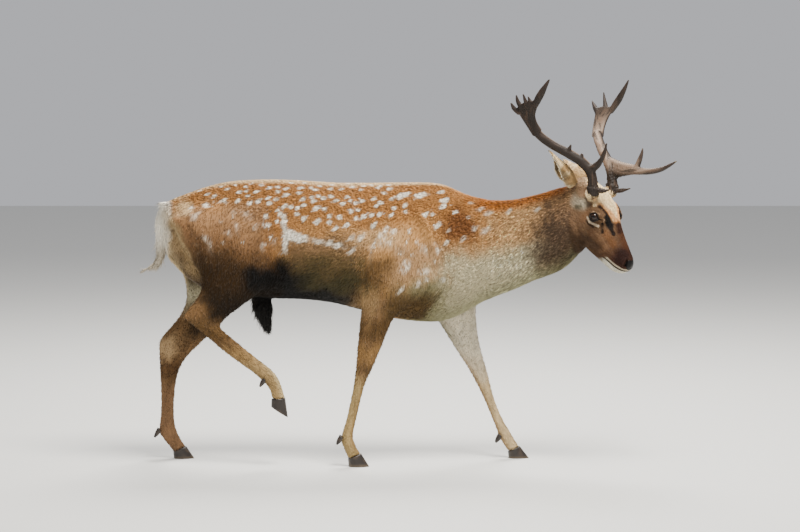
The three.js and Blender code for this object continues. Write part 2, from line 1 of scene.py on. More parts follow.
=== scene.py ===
"""The looks of a fallow deer buck, life size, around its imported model. Metres, +Z up.

One skin takes the place of all the flesh, and the coat is tufts of solid mesh that grow from it.
Eyes, lid rims, nose, antlers and hooves are pieces of their own.
"""
import copy
import math

import bmesh
import bpy
import numpy as np
from mathutils import Matrix, Vector
from mathutils.bvhtree import BVHTree
from mathutils.kdtree import KDTree


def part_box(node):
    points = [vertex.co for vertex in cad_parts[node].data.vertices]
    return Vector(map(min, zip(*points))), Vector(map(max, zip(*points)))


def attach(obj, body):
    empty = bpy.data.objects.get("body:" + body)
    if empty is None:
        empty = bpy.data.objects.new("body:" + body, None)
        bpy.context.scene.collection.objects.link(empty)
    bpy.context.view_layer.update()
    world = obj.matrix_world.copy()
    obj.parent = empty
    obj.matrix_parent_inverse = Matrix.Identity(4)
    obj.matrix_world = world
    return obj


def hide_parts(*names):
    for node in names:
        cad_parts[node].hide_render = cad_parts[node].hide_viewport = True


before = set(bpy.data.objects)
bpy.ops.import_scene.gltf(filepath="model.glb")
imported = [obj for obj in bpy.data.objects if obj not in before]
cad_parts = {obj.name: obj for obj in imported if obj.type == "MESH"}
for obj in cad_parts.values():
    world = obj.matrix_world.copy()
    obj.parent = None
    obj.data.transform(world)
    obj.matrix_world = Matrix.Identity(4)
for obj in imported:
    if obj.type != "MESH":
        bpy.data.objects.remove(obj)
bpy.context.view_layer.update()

MM = 0.001
RANDOM = np.random.default_rng(20)

# ---- Places ----

EYE_AT = (114, 50, -12)          # mm in the head's frame: along it, out from its middle, up
HEAD_PITCH = math.radians(54)    # the nose points this far below level
HEAD_ORIGIN_IN_PART = np.array([795, -70, 905]) * MM
EYE_RADIUS = 16 * MM


def middle(node):
    low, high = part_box(node)
    return np.array((low + high) / 2)


def unit(v):
    v = np.asarray(v, float)
    return v / np.maximum(np.linalg.norm(v, axis=-1, keepdims=True), 1e-12)


EYES = {"right": middle("eye_right"), "left": middle("eye_left")}
HEAD_OUT = unit(EYES["left"] - EYES["right"])
LEVEL_AHEAD = np.cross(HEAD_OUT, [0, 0, 1])
HEAD_ALONG = LEVEL_AHEAD * math.cos(HEAD_PITCH) - np.array([0, 0, math.sin(HEAD_PITCH)])
HEAD_UP = np.cross(HEAD_ALONG, HEAD_OUT)
HEAD_AXES = np.array([HEAD_ALONG, HEAD_OUT, HEAD_UP])
HEAD_ORIGIN = ((EYES["left"] + EYES["right"]) / 2
               - (HEAD_ALONG * EYE_AT[0] + HEAD_UP * EYE_AT[2]) * MM)
PART_SHIFT = HEAD_ORIGIN - HEAD_ORIGIN_IN_PART


def on_head(along, out, up):
    return HEAD_ORIGIN + (HEAD_ALONG * along + HEAD_OUT * out + HEAD_UP * up) * MM


def in_head(points):
    """Places in the head's own frame, in mm: along, out, up."""
    return (points - HEAD_ORIGIN) @ HEAD_AXES.T / MM


def in_part(points):
    """Places in the part's own frame, in mm."""
    return (points - PART_SHIFT) / MM


def ease(value, start, end):
    """0 before start and 1 past end, with a smooth turn between them. start may be the larger."""
    t = np.clip((value - start) / (end - start), 0, 1)
    return t * t * (3 - 2 * t)


def hump(distance, reach):
    """1 at distance 0, falling smoothly to 0 at reach."""
    t = np.clip(1 - (distance / reach) ** 2, 0, 1)
    return t * t


def ripple(points, scale, seed):
    """Smooth noise about 0, of that scale in metres, from a few crossed waves."""
    rng = np.random.default_rng(seed)
    total = np.zeros(len(points))
    for _ in range(7):
        wave = unit(rng.normal(size=3)) * 2 * np.pi / (scale * rng.uniform(0.6, 1.7))
        total += np.sin(points @ wave + rng.uniform(0, 2 * np.pi))
    return total / 2.6


def far(points, place):
    """Each point's distance from one place."""
    return np.linalg.norm(points - place, axis=1)


# ---- Meshes ----

def placed(name, data):
    """An object of this mesh, lamp or camera, in the scene."""
    obj = bpy.data.objects.new(name, data)
    bpy.context.scene.collection.objects.link(obj)
    return obj


def mesh_object(name, points, faces):
    """A mesh object from arrays; faces is an (n, 3) or (n, 4) array."""
    mesh = bpy.data.meshes.new(name)
    count, corners = faces.shape
    mesh.vertices.add(len(points))
    mesh.vertices.foreach_set("co", np.ascontiguousarray(points, np.float32).ravel())
    mesh.loops.add(count * corners)
    mesh.loops.foreach_set("vertex_index", np.ascontiguousarray(faces, np.int32).ravel())
    mesh.polygons.add(count)
    mesh.polygons.foreach_set("loop_start", np.arange(0, count * corners, corners, dtype=np.int32))
    mesh.update(calc_edges=True)
    mesh.shade_smooth()
    return placed(name, mesh)


def points_of(mesh):
    flat = np.empty(len(mesh.vertices) * 3, np.float32)
    mesh.vertices.foreach_get("co", flat)
    return flat.reshape(-1, 3).astype(float)


def put_points(mesh, points):
    mesh.vertices.foreach_set("co", points.astype(np.float32).ravel())
    mesh.update()


def triangles_of(mesh):
    mesh.calc_loop_triangles()
    flat = np.empty(len(mesh.loop_triangles) * 3, np.int32)
    mesh.loop_triangles.foreach_get("vertices", flat)
    return flat.reshape(-1, 3)


def corner_normals(points, triangles):
    """A normal for each point, from the triangles round it weighted by their size."""
    a, b, c = (points[triangles[:, k]] for k in range(3))
    face = np.cross(b - a, c - a)
    total = np.empty_like(points)
    for axis in range(3):
        total[:, axis] = sum(
            np.bincount(triangles[:, k], face[:, axis], len(points)) for k in range(3))
    return unit(total)


class Net:
    """The neighbours of each point of a mesh, for smoothing."""

    def __init__(self, mesh):
        flat = np.empty(len(mesh.edges) * 2, np.int32)
        mesh.edges.foreach_get("vertices", flat)
        self.a, self.b = flat.reshape(-1, 2).T
        self.count = len(mesh.vertices)
        self.degree = np.maximum(np.bincount(flat, minlength=self.count), 1)

    def mean(self, values):
        """The mean of each point's neighbours."""
        columns = values.reshape(self.count, -1)
        out = np.empty_like(columns, dtype=float)
        for k in range(columns.shape[1]):
            column = columns[:, k]
            out[:, k] = (np.bincount(self.a, column[self.b], self.count)
                         + np.bincount(self.b, column[self.a], self.count)) / self.degree
        return out.reshape(values.shape)

    def smooth(self, values, rounds, amount=0.6):
        for _ in range(rounds):
            values = values + (self.mean(values) - values) * amount
        return values


SAME_PLACE = 0.02 * MM             # points this close are one
NEARLY_FLAT = math.radians(14)     # two triangles that bend less than this make a quad
NEARLY_SQUARE = math.radians(60)   # if its corners are this near to square
CUT_EDGE = math.radians(46)        # an edge that bends more than this stays crisp


def smooth_copy(nodes, swell, levels=2, sharp=CUT_EDGE):
    """The named CAD nodes as one subdivided mesh. Their cut edges stay crisp, and each piece is
    swollen a little, so that pieces that meet run into each other."""
    joined = bmesh.new()
    for node in nodes:
        piece = bmesh.new()
        piece.from_mesh(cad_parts[node].data)
        bmesh.ops.remove_doubles(piece, verts=piece.verts, dist=SAME_PLACE)
        bmesh.ops.join_triangles(piece, faces=piece.faces, angle_face_threshold=NEARLY_FLAT,
                                 angle_shape_threshold=NEARLY_SQUARE)
        piece.normal_update()
        crease = piece.edges.layers.float.new("crease_edge")
        for edge in piece.edges:
            if len(edge.link_faces) != 2 or edge.calc_face_angle(0) > sharp:
                edge[crease] = 1.0
        for vert in piece.verts:
            vert.co += vert.normal * swell
        scratch = bpy.data.meshes.new("scratch")
        piece.to_mesh(scratch)
        piece.free()
        obj = placed("scratch", scratch)
        subdivide = obj.modifiers.new("subdivide", "SUBSURF")
        subdivide.levels = subdivide.render_levels = levels
        subdivide.use_limit_surface = False
        fine = applied(obj)
        joined.from_mesh(fine)
        bpy.data.meshes.remove(fine)
    mesh = bpy.data.meshes.new("smooth_copy")
    joined.to_mesh(mesh)
    joined.free()
    return mesh


def add_ball(mesh, centre, radius):
    bm = bmesh.new()
    bm.from_mesh(mesh)
    place = Matrix.Translation(centre)
    bmesh.ops.create_icosphere(bm, subdivisions=3, radius=radius, matrix=place)
    bm.to_mesh(mesh)
    bm.free()


def applied(obj):
    """The object's mesh with its modifiers in it. The object itself goes."""
    graph = bpy.context.evaluated_depsgraph_get()
    mesh = bpy.data.meshes.new_from_object(obj.evaluated_get(graph), depsgraph=graph)
    bpy.data.objects.remove(obj)
    return mesh


def remeshed(mesh, voxel):
    obj = placed("remesh", mesh)
    remesh = obj.modifiers.new("remesh", "REMESH")
    remesh.mode = "VOXEL"
    remesh.voxel_size = voxel
    remesh.use_smooth_shade = True
    return applied(obj)


# ---- The skin's regions ----

REGIONS = ["trunk", "neck", "head", "ear_right", "ear_left", "tail", "sheath", "leg_fore_right",
           "leg_fore_left", "leg_hind_right", "leg_hind_left"]
LEGS = [name for name in REGIONS if name.startswith("leg_")]
EARS = ["ear_right", "ear_left"]
COAT_DEPTH = {"trunk": 4.5, "neck": 5.5, "head": 2.6, "ear": 0.5, "tail": 5.0, "sheath": 4.0,
              "leg": 3.0}          # mm, of coat over the skin


def carried_shares(points, from_skin):
    """For each point the shares of the nearest point of another skin."""
    tree = KDTree(len(from_skin.points))
    for index, point in enumerate(from_skin.points):
        tree.insert(point, index)
    tree.balance()
    nearest = [tree.find(point)[1] for point in points]
    return from_skin.shares[nearest]


REGION_MARGIN = 12 * MM            # how far off a node's box its skin may be


def region_shares(points):
    """For each point the node of flesh it lies on, as a table of ones and noughts."""
    nearest = np.full(len(points), np.inf)
    owner = np.zeros(len(points), int)
    for index, name in enumerate(REGIONS):
        low, high = (np.array(corner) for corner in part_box(name))
        near = np.all((points > low - REGION_MARGIN) & (points < high + REGION_MARGIN), axis=1)
        tree = BVHTree.FromPolygons(
            [v.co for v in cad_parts[name].data.vertices],
            [p.vertices[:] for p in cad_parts[name].data.polygons])
        for k in np.nonzero(near)[0]:
            distance = tree.find_nearest(Vector(points[k]))[3]
            if distance < nearest[k]:
                nearest[k] = distance
                owner[k] = index
    return np.eye(len(REGIONS))[owner]


class Skin:
    """The skin's mesh as arrays: points, triangles, normals, and each point's region shares."""

    def __init__(self, mesh, shares=None, share_rounds=4):
        self.mesh = mesh
        self.net = Net(mesh)
        self.points = points_of(mesh)
        self.triangles = triangles_of(mesh)
        self.normals = corner_normals(self.points, self.triangles)
        if shares is None:
            shares = region_shares(self.points)
        self.shares = self.net.smooth(shares, share_rounds)

    def share(self, *names):
        return self.shares[:, [REGIONS.index(name) for name in names]].sum(axis=1)

    def refresh(self):
        self.normals = corner_normals(self.points, self.triangles)


SKIN_VOXEL = 2.6 * MM
SMOOTHING_ROUNDS = 34              # enough to take away the facets and the joints


def evened(skin, rounds):
    """Smooths away the facets and joints, less where the flesh is thin."""
    thin = skin.share(*EARS)
    lean = skin.share(*LEGS, "tail", "sheath")
    amount = (0.6 - 0.45 * thin - 0.1 * lean)[:, None]
    start = skin.points.copy()
    for _ in range(rounds):
        skin.points = skin.points + (skin.net.mean(skin.points) - skin.points) * amount
    # What the smoothing shrank goes back out, smoothly.
    lost = ((start - skin.points) * skin.normals).sum(axis=1)
    lost = skin.net.smooth(lost, rounds)
    skin.refresh()
    skin.points = skin.points + skin.normals * lost[:, None]
    skin.refresh()


def coat_depth(skin):
    """How deep the coat is over each point of the skin, in metres."""
    depth = np.zeros(len(skin.points))
    for name in REGIONS:
        kind = "ear" if name in EARS else "leg" if name in LEGS else name
        depth += skin.share(name) * COAT_DEPTH[kind]
    place = in_head(skin.points)
    face = skin.share("head") * ease(place[:, 0], 60, 250)
    depth = depth * (1 - 0.45 * face)
    return skin.net.smooth(depth, 12) * MM


FACE_FROM = 62                     # mm along the head
FACE_LOWEST = -135
FACE_HALF_WIDTH = 75
BEHIND_JAW = (60, 0, -110)         # nothing further back than this is face


def finer_face(mesh):
    """The front of the head with its faces split in four."""
    bm = bmesh.new()
    bm.from_mesh(mesh)
    bm.verts.ensure_lookup_table()
    points = points_of(mesh)
    along, out, up = in_head(points).T
    fine = (along > FACE_FROM) & (up > FACE_LOWEST) & (np.abs(out) < FACE_HALF_WIDTH)
    fine &= points[:, 0] > on_head(*BEHIND_JAW)[0]
    edges = [e for e in bm.edges if fine[e.verts[0].index] and fine[e.verts[1].index]]
    bmesh.ops.subdivide_edges(bm, edges=edges, cuts=1, use_grid_fill=True)
    bmesh.ops.triangulate(bm, faces=[f for f in bm.faces if len(f.verts) > 4])
    bm.to_mesh(mesh)
    bm.free()


# ---- Sculpting ----

# Strokes on the head: a line in the head's frame (along, out, up, in mm), how far it reaches
# and how much it raises the skin. Each is made on both sides.
HEAD_STROKES = {
    "brow ridge": ([(88, 48, 26), (120, 52, 20), (142, 46, 8)], 15, 3.0),
    "temple": ([(48, 56, -4), (80, 58, -34)], 20, -3.0),
    "cheekbone": ([(126, 54, -44), (182, 40, -40)], 13, 2.2),
    "cheek": ([(84, 58, -82), (118, 54, -92)], 36, 3.5),
    "jaw hollow": ([(158, 44, -76), (205, 36, -62)], 17, -3.0),
    "under the brow": ([(150, 44, 6), (205, 34, -2)], 14, -3.0),
    "tear pit": ([(148, 44, -8), (166, 43, -22)], 5, -3.5),
    "tear pit rim": ([(142, 47, -17), (162, 44, -30)], 7, 1.8),
    "muzzle side": ([(205, 35, -28), (245, 31, -26)], 16, -2.5),
    "nostril wing": ([(276, 22, -4), (284, 25, -18), (290, 24, -28)], 8, 3.2),
    "nostril": ([(284, 19, -8), (292, 21, -15), (295, 22, -23)], 6.5, -9.5),
    "nose groove": ([(304, 0, -8), (309, 0, -30)], 4, -1.8),
    "upper lip": ([(246, 34, -52), (276, 31, -44), (298, 20, -34)], 8, 1.8),
    "mouth": ([(232, 27, -73), (271, 26, -58), (298, 18, -45), (306, 0, -38)], 3.8, -4.0),
    "lower lip": ([(246, 28, -80), (276, 24, -68), (296, 0, -58)], 9, 2.0),
    "forehead dip": ([(60, 0, 40), (112, 0, 38)], 20, -2.5),
    "crown": ([(30, 38, 32), (56, 46, 26)], 17, 4.0),
}

# The same on the body, in the part's own frame in mm, on the sides named.
BODY_STROKES = {
    "right flank hollow": ([(-150, -118, 668), (-205, -110, 600)], 50, -9),
    "left flank hollow": ([(-190, 118, 668), (-245, 110, 600)], 50, -9),
    "right stifle fold": ([(-172, -92, 610), (-230, -96, 545)], 26, 6),
    "right haunch line": ([(-500, -84, 790), (-446, -110, 690), (-404, -112, 610)], 15, -4.5),
    "left haunch line": ([(-520, 84, 780), (-470, 108, 680), (-430, 110, 600)], 15, -4.5),
    "right shoulder blade": ([(240, -92, 852), (300, -104, 700), (318, -100, 620)], 24, 5),
    "left shoulder blade": ([(300, 92, 842), (370, 100, 700), (390, 96, 620)], 24, 5),
    "right behind shoulder": ([(96, -118, 760), (72, -122, 600), (60, -110, 540)], 34, -6),
    "left behind shoulder": ([(170, 114, 750), (200, 112, 600), (224, 104, 540)], 34, -6),
    "right elbow": ([(66, -108, 560), (70, -104, 528)], 24, 5),
    "right arm line": ([(286, -98, 640), (246, -104, 560), (196, -104, 512)], 14, -4),
    "right neck furrow": ([(480, -66, 640), (600, -92, 668), (690, -118, 706)], 26, -4),
    "left neck furrow": ([(480, 66, 640), (600, 40, 668), (690, 20, 706)], 26, -4),
    "right cannon tendon": ([(66, -108, 230), (42, -108, 130)], 7, -2.2),
    "right hind tendon": ([(-420, -104, 440), (-300, -104, 340)], 8, -2.5),
    "left hind tendon": ([(-556, 76, 300), (-552, 76, 150)], 8, -2.2),
    "left hind ham": ([(-400, 60, 560), (-470, 62, 450)], 16, -4),
    "breast line": ([(330, -60, 470), (440, -52, 520), (560, -40, 575)], 12, -4),
}


def distance_to(points, line):
    """Each point's distance to a chain of straight pieces."""
    best = np.full(len(points), np.inf)
    for a, b in zip(line[:-1], line[1:]):
        a, b = np.array(a, float), np.array(b, float)
        along = b - a
        t = np.clip((points - a) @ along / (along @ along), 0, 1)
        best = np.minimum(best, np.linalg.norm(points - a - t[:, None] * along, axis=1))
    return best


def sculpt_strokes(skin):
    head = in_head(skin.points)
    head[:, 1] = np.abs(head[:, 1])
    body = in_part(skin.points)
    rise = np.zeros(len(skin.points))
    for line, reach, amount in HEAD_STROKES.values():
        rise += amount * hump(distance_to(head, line), reach) * (skin.share("head", "neck") > 0.5)
    for line, reach, amount in BODY_STROKES.values():
        rise += amount * hump(distance_to(body, line), reach)
    skin.points = skin.points + skin.normals * (rise * MM)[:, None]
    skin.refresh()


# ---- Eyes and lids ----

LID_THICK = 1.7 * MM
LID_REACH = 34 * MM              # how far from the eyeball's middle its lids are shaped
EYE_SLIT_HALF = 64               # degrees round the eyeball, from its middle to a corner
EYE_SLIT_HIGH = 49               # and up to the middle of the upper lid
EYE_SLIT_LOW = 44
SLIT_POINTED = 2.2               # how pointed the slit's corners are


class Eye:
    """One eye's own frame: out of the head, along the slit to its front corner, and up."""

    def __init__(self, side):
        self.side = side
        self.centre = EYES[side]
        hand = 1 if side == "left" else -1
        self.out = unit(HEAD_OUT * hand * 0.95 + HEAD_ALONG * 0.10 + HEAD_UP * 0.26)
        slit = HEAD_ALONG * 0.82 + HEAD_UP * 0.56
        self.front = unit(slit - self.out * (slit @ self.out))
        self.up = np.cross(self.out, self.front) * hand

    def angles(self, points):
        """Degrees towards the front corner, degrees upwards, and distance from the middle."""
        away = points - self.centre
        reach = far(points, self.centre)
        out = away @ self.out
        return (np.degrees(np.arctan2(away @ self.front, out)),
                np.degrees(np.arctan2(away @ self.up, out)), reach)

    def outside_slit(self, points):
        """About how many degrees each point lies outside the slit; inside it is negative."""
        along, up, _ = self.angles(points)
        t = np.clip(np.abs(along) / EYE_SLIT_HALF, 0, 1)
        high = np.where(up > 0, EYE_SLIT_HIGH, EYE_SLIT_LOW) * (1 - t ** SLIT_POINTED) ** 0.8
        return np.maximum(np.abs(up) - high, np.abs(along) - EYE_SLIT_HALF)


BOTH_EYES = (Eye("right"), Eye("left"))


def sculpt_lids(skin):
    for eye in BOTH_EYES:
        outside = eye.outside_slit(skin.points)
        away = skin.points - eye.centre
        reach = far(skin.points, eye.centre)
        facing = away @ eye.out / np.maximum(reach, 1e-9)
        near = (reach < LID_REACH) * ease(facing, 0.0, 0.25)
        lid = EYE_RADIUS + LID_THICK * (1 + 0.7 * hump(outside - 8, 9))
        crease = 1.2 * MM * (hump(outside - 18, 5) + 0.6 * hump(outside - 27, 4))
        wanted = lid - crease
        wanted = wanted + (EYE_RADIUS * 0.72 - wanted) * ease(outside, 1, -5)
        hold = ease(outside, 36, 14) * near
        moved = reach + (wanted - reach) * hold
        # No skin round the slit may sink into the eyeball.
        lowest = (EYE_RADIUS + 1.3 * MM) * (outside > 1) * (reach < 26 * MM) * (facing > -0.2)
        moved = np.maximum(moved, lowest)
        skin.points = eye.centre + away / np.maximum(reach, 1e-9)[:, None] * moved[:, None]
    skin.refresh()


# ---- Making the skin ----

SKIN_TRIANGLES = 188000
ANTLER_STUMP = (50, 49, 17, 21)    # the skull's knob under each antler: along, out, up, radius


def thinned(mesh, keep):
    """The mesh brought down to SKIN_TRIANGLES. 'keep' is 1 where it stays as fine as it is."""
    obj = placed("skin", mesh)
    group = obj.vertex_groups.new(name="open")
    levels = np.round((1 - keep) * 10).astype(int)
    for level in range(1, 11):
        group.add(np.nonzero(levels == level)[0].tolist(), level / 10, "REPLACE")
    decimate = obj.modifiers.new("thin", "DECIMATE")
    decimate.ratio = SKIN_TRIANGLES / len(triangles_of(mesh))
    decimate.vertex_group = "open"
    decimate.vertex_group_factor = 0.02
    return applied(obj)


def make_skin():
    flesh = smooth_copy([*REGIONS, "eye_right", "eye_left"], swell=0.5 * MM)
    along, out, up, radius = ANTLER_STUMP
    for hand in (-1, 1):
        add_ball(flesh, on_head(along, hand * out, up), radius * MM)
    rough = Skin(remeshed(flesh, SKIN_VOXEL))
    evened(rough, SMOOTHING_ROUNDS)
    rough.points = rough.points - rough.normals * coat_depth(rough)[:, None]
    put_points(rough.mesh, rough.points)
    finer_face(rough.mesh)
    fine = Skin(rough.mesh, carried_shares(points_of(rough.mesh), rough), share_rounds=1)
    face = fine.share("head") * ease(in_head(fine.points)[:, 0], 55, 75)
    smoother = fine.net.smooth(fine.points, 6)
    fine.points = fine.points + (smoother - fine.points) * face[:, None]
    fine.refresh()
    sculpt_strokes(fine)
    sculpt_lids(fine)
    put_points(fine.mesh, fine.points)
    ears = np.clip(fine.share(*EARS) * 0.6, 0, 1)
    mesh = thinned(fine.mesh, np.clip(face + ears, 0, 1))
    mesh.name = "skin"
    return Skin(mesh, carried_shares(points_of(mesh), fine), share_rounds=1)


skin = make_skin()


# ---- How the coat lies ----

def guides(skin):
    """Which way the hair runs over each point, before it is laid on the skin."""
    place = in_part(skin.points)
    side = np.abs(skin.normals[:, 1])
    level = np.ones((len(skin.points), 1))
    ahead = np.array([1.0, 0, 0])
    down = np.array([0, 0, -1.0])
    rump = ease(place[:, 0], -440, -540)[:, None]
    breast = (ease(place[:, 0], 330, 470) * ease(skin.normals[:, 2], 0.3, -0.5))[:, None]
    trunk = -ahead + down * (0.22 + 0.45 * side[:, None])
    trunk = trunk * (1 - rump) + (down - 0.25 * ahead) * rump
    trunk = trunk * (1 - 0.7 * breast) + (down - 0.5 * ahead) * 0.7 * breast
    neck = -ahead * 0.9 + down * 0.75 * side[:, None] - np.array([0, 0, 0.15])
    lower_hind = ease(place[:, 2], 500, 430)[:, None]
    tail_end = ease(place[:, 2], 690, 640)[:, None]
    wanted = {
        "trunk": trunk,
        "neck": neck,
        "head": -HEAD_ALONG * level,
        "tail": (down - 0.1 * ahead) * (1 - tail_end) + (0.55 * down - 0.85 * ahead) * tail_end,
        "sheath": (down + 0.1 * ahead) * level,
        "leg_fore_right": (down - 0.2 * ahead) * level,
        "leg_fore_left": (down + 0.3 * ahead) * level,
        "leg_hind_right": ((down - 0.2 * ahead) * (1 - lower_hind)
                           + (0.6 * down + 0.8 * ahead) * lower_hind),
        "leg_hind_left": (down - 0.2 * ahead) * level,
    }
    for side_name, end in EAR_TIPS.items():
        wanted["ear_" + side_name] = unit(end - EAR_ROOTS[side_name]) * level
    return sum(wanted[name] * skin.share(name)[:, None] for name in REGIONS)


EAR_TIPS = {"right": np.array([661, -160, 1017]) * MM + PART_SHIFT,
            "left": np.array([716, 96, 968]) * MM + PART_SHIFT}
EAR_ROOTS = {"right": on_head(-22, -42, -22), "left": on_head(-22, 42, -22)}
EAR_OPENINGS = {"right": unit([-0.9, -0.22, -0.35]), "left": unit([-0.5, 0.8, -0.2])}


def on_surface(directions, normals):
    return unit(directions - normals * (directions * normals).sum(axis=1)[:, None])


EYE_PARTING = 40 * MM              # how far from an eye its hair turns away


def lie_of(skin):
    lie = guides(skin)
    # Hair parts round the eyes.
    for eye in BOTH_EYES:
        near = hump(far(skin.points, eye.centre), EYE_PARTING)
        lie += unit(skin.points - eye.centre) * (0.9 * near)[:, None]
    lie += 0.16 * np.stack([ripple(skin.points, 0.09, seed) for seed in (3, 4, 5)], axis=1)
    for _ in range(4):
        lie = on_surface(skin.net.smooth(lie, 6), skin.normals)
    return lie


# ---- Colours and markings ----

def colour(code):
    """'#rrggbb' as light."""
    parts = np.array([int(code[k:k + 2], 16) for k in (1, 3, 5)]) / 255
    return np.where(parts <= 0.04045, parts / 12.92, ((parts + 0.055) / 1.055) ** 2.4)


def painted(code, points):
    """A table with this one colour for each point."""
    return np.tile(colour(code), (len(points), 1))


TAN = "#c39a68"
DARK_BROWN = "#3a2b1a"
BLACK_BROWN = "#100c07"
PALE_GREY = "#c9c2a6"
CREAM = "#e8d3ac"
WHITE = "#f7f2e6"

DEPTH_OF_TONE = 1.22             # above 1, darker colours go darker while white stays white

SIDE_STEP = 3.2                  # mm: the spots are set out on a side view in steps of this size
SIDE_VIEW_ZERO = (340, 463)      # the step over the part's origin, and the one on the ground
LOOKING_DOWN = math.radians(6)   # the side view is taken from this far above level

# Spots as (step along, step down, length in mm), by place.
SPOTS = {
    "croup": [(200, 192, 14), (209, 195, 14), (216, 197, 14), (228, 190, 13), (225, 201, 17),
              (207, 206, 13), (241, 193, 16), (247, 192, 13), (249, 197, 13), (239, 202, 18),
              (251, 204, 20), (257, 193, 15), (192, 208, 15), (236, 186, 12), (222, 188, 12)],
    "loin": [(260, 202, 20), (269, 199, 16), (270, 204, 16), (270, 189, 18), (279, 188, 16),
             (279, 193, 15), (277, 200, 14), (287, 190, 16), (287, 196, 18), (285, 207, 17),
             (279, 211, 13), (292, 208, 18), (298, 209, 13), (304, 206, 17), (262, 186, 14),
             (252, 185, 12), (292, 184, 12), (246, 188, 13)],
    "back": [(301, 189, 18), (300, 194, 14), (304, 200, 18), (312, 198, 14), (314, 202, 15),
             (319, 197, 14), (324, 199, 17), (331, 197, 16), (336, 202, 18), (343, 205, 17),
             (317, 209, 24), (325, 210, 16), (330, 217, 14), (330, 223, 17), (340, 218, 18),
             (336, 229, 20), (347, 226, 21), (311, 189, 13), (316, 191, 17), (320, 187, 12),
             (331, 190, 15), (332, 186, 12), (342, 190, 13), (348, 185, 15), (353, 188, 18),
             (306, 184, 12), (318, 183, 12)],
    "middle": [(285, 222, 20), (269, 226, 21), (272, 238, 16), (267, 217, 16), (305, 219, 18),
               (298, 215, 14), (318, 222, 24), (281, 214, 16), (284, 217, 15), (278, 222, 13),
               (361, 191, 13), (364, 187, 12), (372, 186, 12), (378, 189, 12), (348, 198, 14),
               (350, 202, 13), (356, 204, 15), (362, 202, 16), (374, 200, 14)],
    "shoulder": [(351, 212, 19), (358, 211, 14), (364, 217, 26), (372, 216, 17), (380, 215, 16),
                 (380, 204, 18), (390, 190, 17), (392, 200, 16), (394, 209, 14), (391, 216, 14),
                 (374, 226, 22), (386, 230, 22), (394, 232, 19), (410, 232, 17), (405, 206, 16),
                 (405, 212, 14), (403, 196, 50), (421, 196, 38), (425, 215, 20), (437, 226, 24),
                 (356, 219, 15), (380, 187, 16), (384, 194, 12), (376, 207, 13)],
    "withers": [(441, 193, 20), (444, 201, 28), (443, 207, 26), (455, 213, 18), (432, 215, 10),
                (438, 226, 10), (389, 186, 14)],
}
# The same for spots that are paler than the coat but not white.
FAINT_SPOTS = {
    "haunch": [(193, 213, 22), (197, 217, 30), (234, 215, 30), (248, 214, 20), (207, 239, 24),
               (256, 228, 26), (212, 246, 26), (222, 222, 16), (230, 234, 14), (244, 243, 18),
               (263, 246, 20), (276, 241, 22), (224, 244, 14), (238, 226, 14)],
    "low flank": [(361, 238, 34), (352, 251, 30), (339, 246, 30), (374, 245, 34), (390, 243, 28),
                  (407, 242, 26), (416, 243, 18), (425, 250, 16), (446, 243, 24), (438, 251, 20),
                  (352, 238, 30), (380, 236, 26), (330, 243, 26), (400, 254, 18), (412, 256, 14)],
    "shoulder low": [(408, 268, 24), (427, 271, 24), (418, 284, 20), (427, 280, 16),
                     (401, 290, 20), (443, 280, 22), (404, 262, 14), (434, 262, 14)],
    "neck foot": [(463, 239, 26), (474, 229, 26), (485, 231, 38), (480, 210, 30), (488, 214, 34),
                  (509, 212, 20), (537, 210, 22), (448, 231, 16), (470, 204, 16), (468, 218, 14)],
}
FAINTNESS = {"haunch": 0.42, "low flank": 0.72, "shoulder low": 0.6, "neck foot": 0.5}
FAR_SIDE_SHIFT = 9                 # mm: how differently the other side's spots lie
SPOT_RAY_FROM = 0.6                # metres out, where a spot's ray towards the skin starts


def side_place(along, down):
    """A step of the side view as a place in it: mm along, and mm up the picture."""
    return (along - SIDE_VIEW_ZERO[0]) * SIDE_STEP, (SIDE_VIEW_ZERO[1] - down) * SIDE_STEP


def side_height(place):
    """How high a place in the part's frame shows in the side view, in mm, for either side."""
    return place[:, 2] * math.cos(LOOKING_DOWN) - np.abs(place[:, 1]) * math.sin(LOOKING_DOWN)


def spot_centres(tree):
    """Each spot's place on the skin, half its length, and how white it is, on both sides."""
    rng = np.random.default_rng(5)
    rows = []
    view = np.array([0, -math.cos(LOOKING_DOWN), math.sin(LOOKING_DOWN)])
    for name, table in (SPOTS | FAINT_SPOTS).items():
        strength = FAINTNESS.get(name, 1.0)
        for along, down, length in table:
            x, up = side_place(along, down)
            for hand in (-1, 1):
                shift = (0, 0) if hand < 0 else rng.normal(size=2) * FAR_SIDE_SHIFT
                toward = view * [1, -hand, 1]
                start = (np.array([x + shift[0], 0, (up + shift[1]) / math.cos(LOOKING_DOWN)])
                         * MM + PART_SHIFT + toward * SPOT_RAY_FROM)
                hit = tree.ray_cast(Vector(start), Vector(-toward))[0]
                if hit is not None:
                    rows.append((*hit, length / 2 * MM, strength))
    return np.array(rows)


SPOT_WIDTH = 5.6 * MM            # half a spot's width
WIDEST_SPOT = 9 * MM
SPOT_REACH = 50 * MM             # no spot is longer than this


def spot_cover(points, lie, centres):
    """How much of each point is under a white spot."""
    cover = np.zeros(len(points))
    wobble = 1 + 0.22 * ripple(points, 0.012, 8)
    for x, y, z, half, strength in centres:
        near = np.nonzero((np.abs(points[:, 0] - x) < SPOT_REACH)
                          & (np.abs(points[:, 2] - z) < SPOT_REACH))[0]
        if len(near) == 0:
            continue
        away = points[near] - (x, y, z)
        along = (away * lie[near]).sum(axis=1)
        across = np.sqrt(np.maximum((away ** 2).sum(axis=1) - along ** 2, 0))
        width = min(SPOT_WIDTH * (0.72 + half / (22 * MM)), WIDEST_SPOT)
        reach = np.hypot(along / half, across / width) * wobble[near]
        edge = 0.35 if strength < 1 else 0.72
        amount = strength * ease(reach, 1.35, edge)
        cover[near] = np.maximum(cover[near], amount)
    return cover


